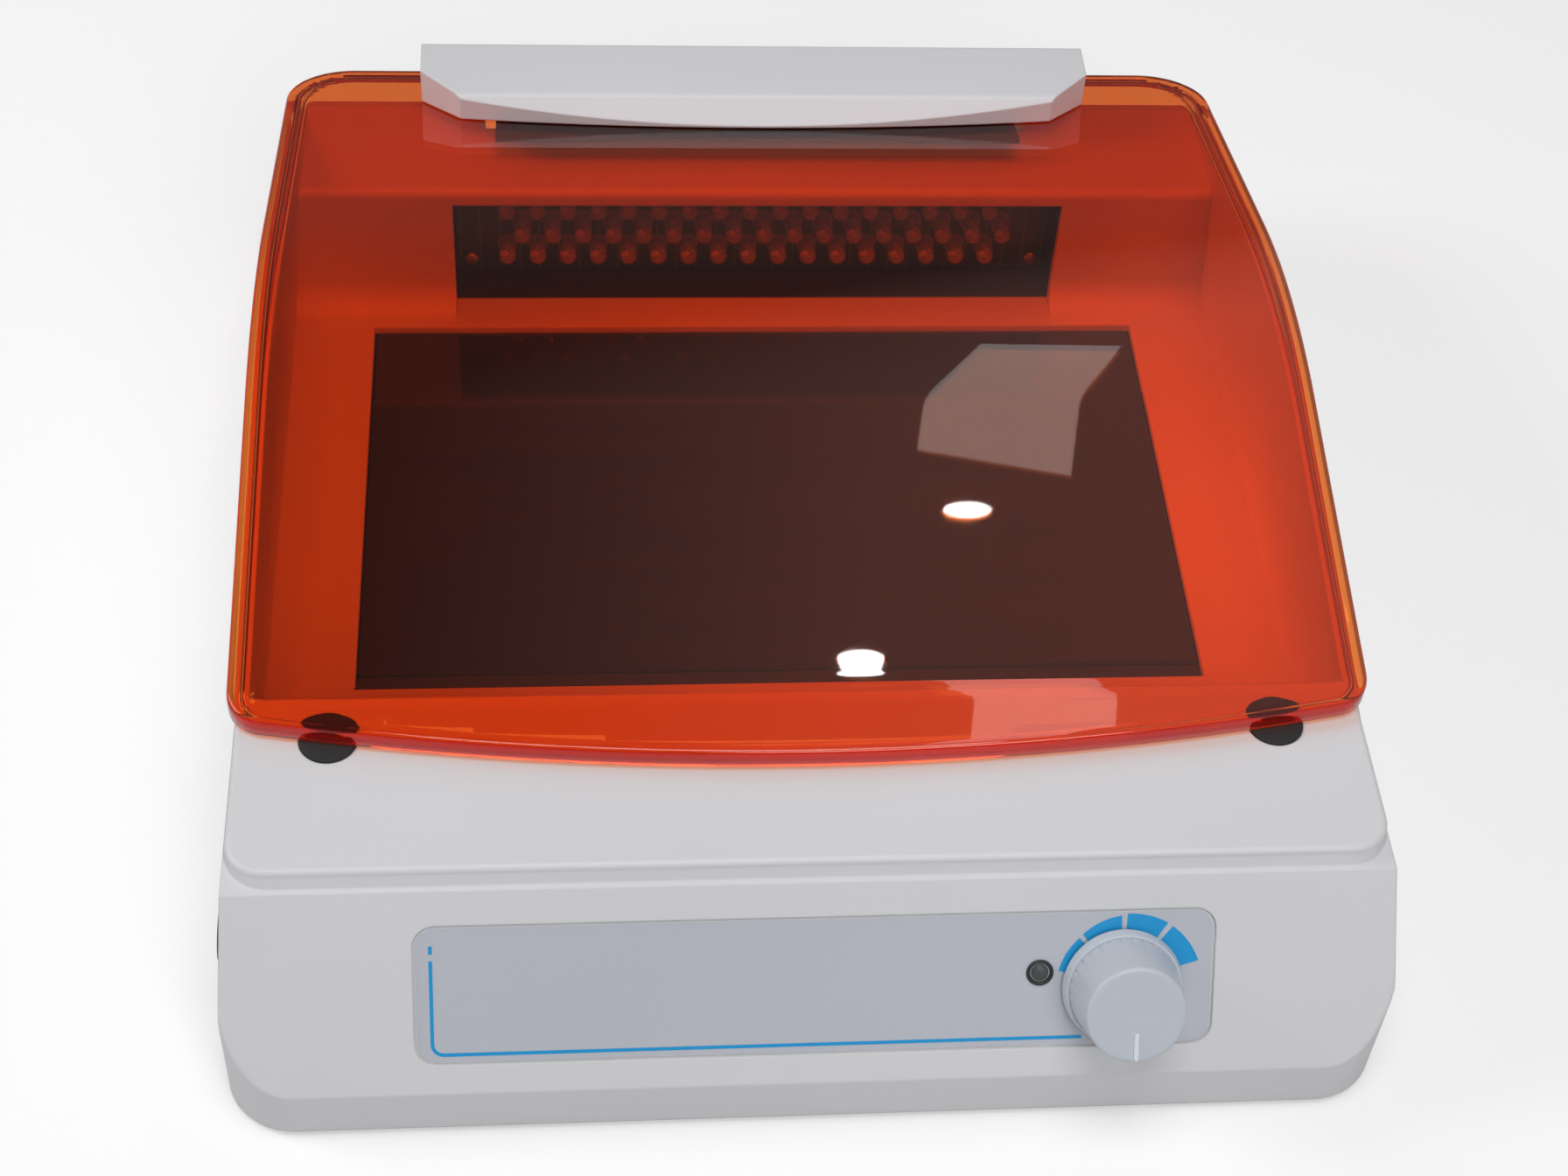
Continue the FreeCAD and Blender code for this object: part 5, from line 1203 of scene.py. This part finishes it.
class TRANSIL_OT_screws(bpy.types.Operator):
    """Put a cross-head screw in each place the frame holds one"""

    bl_idname = "transil.screws"
    bl_label = "Screws"

    def execute(self, context):
        for seed, (node, (body, way, head, tall)) in enumerate(SCREW_SETS.items(), 1):
            axis = 1 if way == "back" else 2
            places = []
            for box_low, box_high in islands(node):
                spot = (box_low + box_high) / 2
                long = box_high[axis] - box_low[axis] - tall
                spot[axis] = box_high[axis] - tall if way == "down" else box_low[axis] + tall
                places.append(spot)
            shape = shape_object(node + "_shape", screw_shape(head, tall, long), screw_steel())
            base = points_object(node + "_base", places)
            piece = apply_tree(node + "_cross_head", base, fastener_tree, {
                "Shape": shape, "Turn": SCREW_TURNS[way], "Seed": seed,
                "Finish": screw_steel()}, 40.0)
            bpy.data.objects.remove(shape)
            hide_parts(node)
            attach(piece, body)
        return {"FINISHED"}


class TRANSIL_OT_bumpers(bpy.types.Operator):
    """Turn the two rubber bumpers under the cover's lip"""

    bl_idname = "transil.bumpers"
    bl_label = "Cover bumpers"

    def execute(self, context):
        made = bmesh.new()
        for box_low, box_high in islands("cover_bumpers"):
            spot = (box_low + box_high) / 2
            radius = (box_high.x - box_low.x) / 2
            tall = box_high.z - box_low.z
            one = lathe(rounded_step([(0, 0), (radius, 0, 0), (radius, tall, 0.0006),
                                      (0, tall)], 0.0006), 64)
            one.transform(Matrix.Translation((spot.x, spot.y, box_low.z)))
            data = to_data("bumper", one)
            made.from_mesh(data)
            bpy.data.meshes.remove(data)
        piece = to_object("bumper_pads", made, rubber(), 40.0)
        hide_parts("cover_bumpers")
        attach(piece, "base")
        return {"FINISHED"}


STRIP_LONG = 0.017
STRIP_DROP = 0.0034  # from the sheet's upper face to the strip
STRIP_THICK = 0.0012


class TRANSIL_OT_fittings(bpy.types.Operator):
    """Finish the hinge, the switch, the inlet and the driver board"""

    bl_idname = "transil.fittings"
    bl_label = "Hinge, switch and electrics"

    def execute(self, context):
        dark = finish(metal, "black plated steel", (0.08, 0.08, 0.08), 0.4, wear=0.4)
        self.clamp_strip(dark)
        paint(steel(), "hinge_pin", "friction_washers", "inlet_nut")
        paint(dark, "hinge_brackets")
        paint(black_plastic(), "switch_housing", "dc_inlet")
        paint(finish(plastic, "satin black rocker", (0.018, 0.018, 0.02), 0.3, 0.00002,
                     round_edge=0.0004), "power_rocker")
        paint(board(), "driver_board")
        paint(finish(metal, "turned brass", (0.72, 0.5, 0.22), 0.28), "driver_standoffs")
        return {"FINISHED"}

    def clamp_strip(self, material):
        """The strip under the sheet, as broad from front to rear as the photograph shows it."""
        box_low, box_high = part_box("clamp_strip")
        values = arch_values()
        half = (box_high.x - box_low.x) / 2
        front, rear = [
            (depth, values["Rear Height"] + (values["Rear"] - depth) * values["Rear Slope"]
             - STRIP_DROP) for depth in (box_high.y - STRIP_LONG, box_high.y)]
        section = [front, rear, (rear[0], rear[1] - STRIP_THICK),
                   (front[0], front[1] - STRIP_THICK)]
        mesh = bmesh.new()
        bridge(mesh, [[mesh.verts.new((x, y, z)) for y, z in section] for x in (-half, half)])
        bmesh.ops.recalc_face_normals(mesh, faces=mesh.faces)
        strip = to_object("clamp_bar", mesh, material)
        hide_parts("clamp_strip")
        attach(strip, "cover")


# Studio.


CENTRE = (0, 0, 0.04)
LAMPS = (  # name, place, aim, width, height, twist, share of the key lamp's power
    ("key_lamp", (0, -0.35, 1.5), CENTRE, 0.7, 0.7, 0, 1.0),
    ("front_lamp", (0.3, -1.2, 1.0), CENTRE, 0.6, 0.6, 0, 0.68),
    ("left_lamp", (-1.1, 0.15, 0.8), (0.1, 0.05, 0.04), 0.5, 0.5, 0, 0.6),
    ("window_card", (0.281, 0.674, 1.2), (0.281, 0.674, 0), 0.11, 0.41, -0.19, 0.04),
    ("ceiling_spot_1", (0.221, 0.437, 1.2), (0.221, 0.437, 0), 0.034, 0.012, 0, 0.004),
    ("ceiling_spot_2", (0.141, 0.33, 1.2), (0.141, 0.33, 0), 0.032, 0.012, 0, 0.004),
)
BEAM_PLACE, BEAM_AIM = (-1.0, 0.0, 0.56), (0.1, 0.02, 0.035)
BEAM_SHARE = 4
FLOOR_HALF = 3.0
FLOOR_GLOW = 0.36  # only for rays from the camera, straight or through the cover
SKY_TINT = (0.95, 0.97, 1, 1)
SKY_LEAST, SKY_MOST = 0.12, 0.5  # strength of the sky in reflections
CAMERA_PLACE = (-0.05379, -0.4665, 0.53898)
CAMERA_SHIFT = (-0.0333, 0.0018)


def hang(name, lamp, place, aim, twist=0):
    """Hang a lamp in the studio, aimed at a point and twisted about its beam."""
    made = link_object(name, lamp)
    made.location = place
    made.rotation_mode = "QUATERNION"
    turn = (Vector(aim) - Vector(place)).to_track_quat("-Z", "Y")
    made.rotation_quaternion = turn @ Quaternion((0, 0, 1), twist)


class TRANSIL_OT_studio(bpy.types.Operator):
    """Set the pale floor, the soft lamps and the camera"""

    bl_idname = "transil.studio"
    bl_label = "Studio"

    def execute(self, context):
        looks = context.scene.studio_looks
        self.floor(looks)
        self.light(looks)
        self.world(context, looks)
        self.camera(context, looks)
        context.scene.view_settings.view_transform = "Standard"
        return {"FINISHED"}

    def floor(self, looks):
        mesh = bmesh.new()
        bmesh.ops.create_grid(mesh, x_segments=1, y_segments=1, size=FLOOR_HALF)
        material, tree = new_material("pale floor")
        paper = add(tree, "ShaderNodeBsdfPrincipled", Roughness=0.9, Base_Color=four(looks.floor))
        glow = add(tree, "ShaderNodeEmission")
        path = add(tree, "ShaderNodeLightPath")
        seen = Value(tree, path.outputs["Is Camera Ray"]).sum(
            "MAXIMUM", path.outputs["Is Transmission Ray"])
        (seen * FLOOR_GLOW).into(glow, "Strength")
        both = add(tree, "ShaderNodeAddShader")
        tree.links.new(paper.outputs["BSDF"], both.inputs[0])
        tree.links.new(glow.outputs["Emission"], both.inputs[1])
        end_material(tree, both)
        floor = to_object("studio_floor", mesh, material)

    def light(self, looks):
        for name, place, aim, wide, tall, twist, share in LAMPS:
            lamp = bpy.data.lights.new(name, "AREA")
            lamp.shape = "ELLIPSE" if name.startswith("ceiling") else "RECTANGLE"
            lamp.size = wide
            lamp.size_y = tall
            lamp.energy = looks.key * share
            hang(name, lamp, place, aim, twist)
        beam = bpy.data.lights.new("wall_beam", "SPOT")
        beam.energy = looks.key * BEAM_SHARE
        beam.spot_size = math.radians(9)
        beam.spot_blend = 0.6
        beam.shadow_soft_size = 0.08
        hang("wall_beam", beam, BEAM_PLACE, BEAM_AIM)

    def world(self, context, looks):
        """Even light all round; what is mirrored in it fades towards the left."""
        world = bpy.data.worlds.new("studio")
        world.use_nodes = True
        tree = world.node_tree
        back = tree.nodes["Background"]
        back.inputs["Color"].default_value = SKY_TINT
        path = add(tree, "ShaderNodeLightPath")
        way = add(tree, "ShaderNodeTexCoord")
        parts = add(tree, "ShaderNodeSeparateXYZ")
        tree.links.new(way.outputs["Generated"], parts.inputs[0])
        across, up = (Value(tree, parts.outputs[axis]) for axis in "XZ")
        mirrored = across.sum("MULTIPLY_ADD", 2.0, up + (looks.mirrored - 0.95))
        mirrored = mirrored.sum("MAXIMUM", SKY_LEAST).sum("MINIMUM", SKY_MOST)
        glossy = Value(tree, path.outputs["Is Glossy Ray"])
        (glossy * (mirrored - looks.sky) + looks.sky).into(back, "Strength")
        context.scene.world = world

    def camera(self, context, looks):
        data = bpy.data.cameras.new("camera")
        data.sensor_width = 36.0
        data.lens = looks.lens
        data.shift_x, data.shift_y = CAMERA_SHIFT
        data.clip_start = 0.01
        made = link_object("camera", data)
        ahead = Vector((math.sin(looks.yaw) * math.cos(looks.pitch),
                        math.cos(looks.yaw) * math.cos(looks.pitch), -math.sin(looks.pitch)))
        right = ahead.cross(Vector((0, 0, 1))).normalized()
        above = right.cross(ahead)
        cosine, sine = math.cos(looks.roll), math.sin(looks.roll)
        turn = Matrix((right * cosine + above * sine, above * cosine - right * sine,
                       -ahead)).transposed()
        made.matrix_world = Matrix.Translation(CAMERA_PLACE) @ turn.to_4x4()
        context.scene.camera = made


OPERATORS = (
    TRANSIL_OT_housing, TRANSIL_OT_stage, TRANSIL_OT_lamps, TRANSIL_OT_console,
    TRANSIL_OT_knob, TRANSIL_OT_screws, TRANSIL_OT_bumpers, TRANSIL_OT_fittings,
    TRANSIL_OT_cover, TRANSIL_OT_studio,
)
LOOKS = {
    "housing_looks": HousingLooks,
    "cover_looks": CoverLooks,
    "lamp_looks": LampLooks,
    "studio_looks": StudioLooks,
}


class TRANSIL_PT_panel(bpy.types.Panel):
    """Sidebar list of the pieces and their sizes"""

    bl_label = "Transilluminator"
    bl_idname = "TRANSIL_PT_panel"
    bl_space_type = "VIEW_3D"
    bl_region_type = "UI"
    bl_category = "Transilluminator"

    def draw(self, context):
        for name, group in LOOKS.items():
            box = self.layout.box()
            for label in group.__annotations__:
                box.prop(getattr(context.scene, name), label)
        for operator in OPERATORS:
            self.layout.operator(operator.bl_idname)


CLASSES = tuple(LOOKS.values()) + OPERATORS + (TRANSIL_PT_panel,)


def register():
    for item in CLASSES:
        bpy.utils.register_class(item)
    for name, group in LOOKS.items():
        setattr(bpy.types.Scene, name, PointerProperty(type=group))


def unregister():
    for name in LOOKS:
        delattr(bpy.types.Scene, name)
    for item in reversed(CLASSES):
        bpy.utils.unregister_class(item)


def main():
    register()
    bpy.ops.transil.housing()
    bpy.ops.transil.stage()
    bpy.ops.transil.lamps()
    bpy.ops.transil.console()
    bpy.ops.transil.knob()
    bpy.ops.transil.screws()
    bpy.ops.transil.bumpers()
    bpy.ops.transil.fittings()
    bpy.ops.transil.cover()
    bpy.ops.transil.studio()


if __name__ == "__main__":
    main()
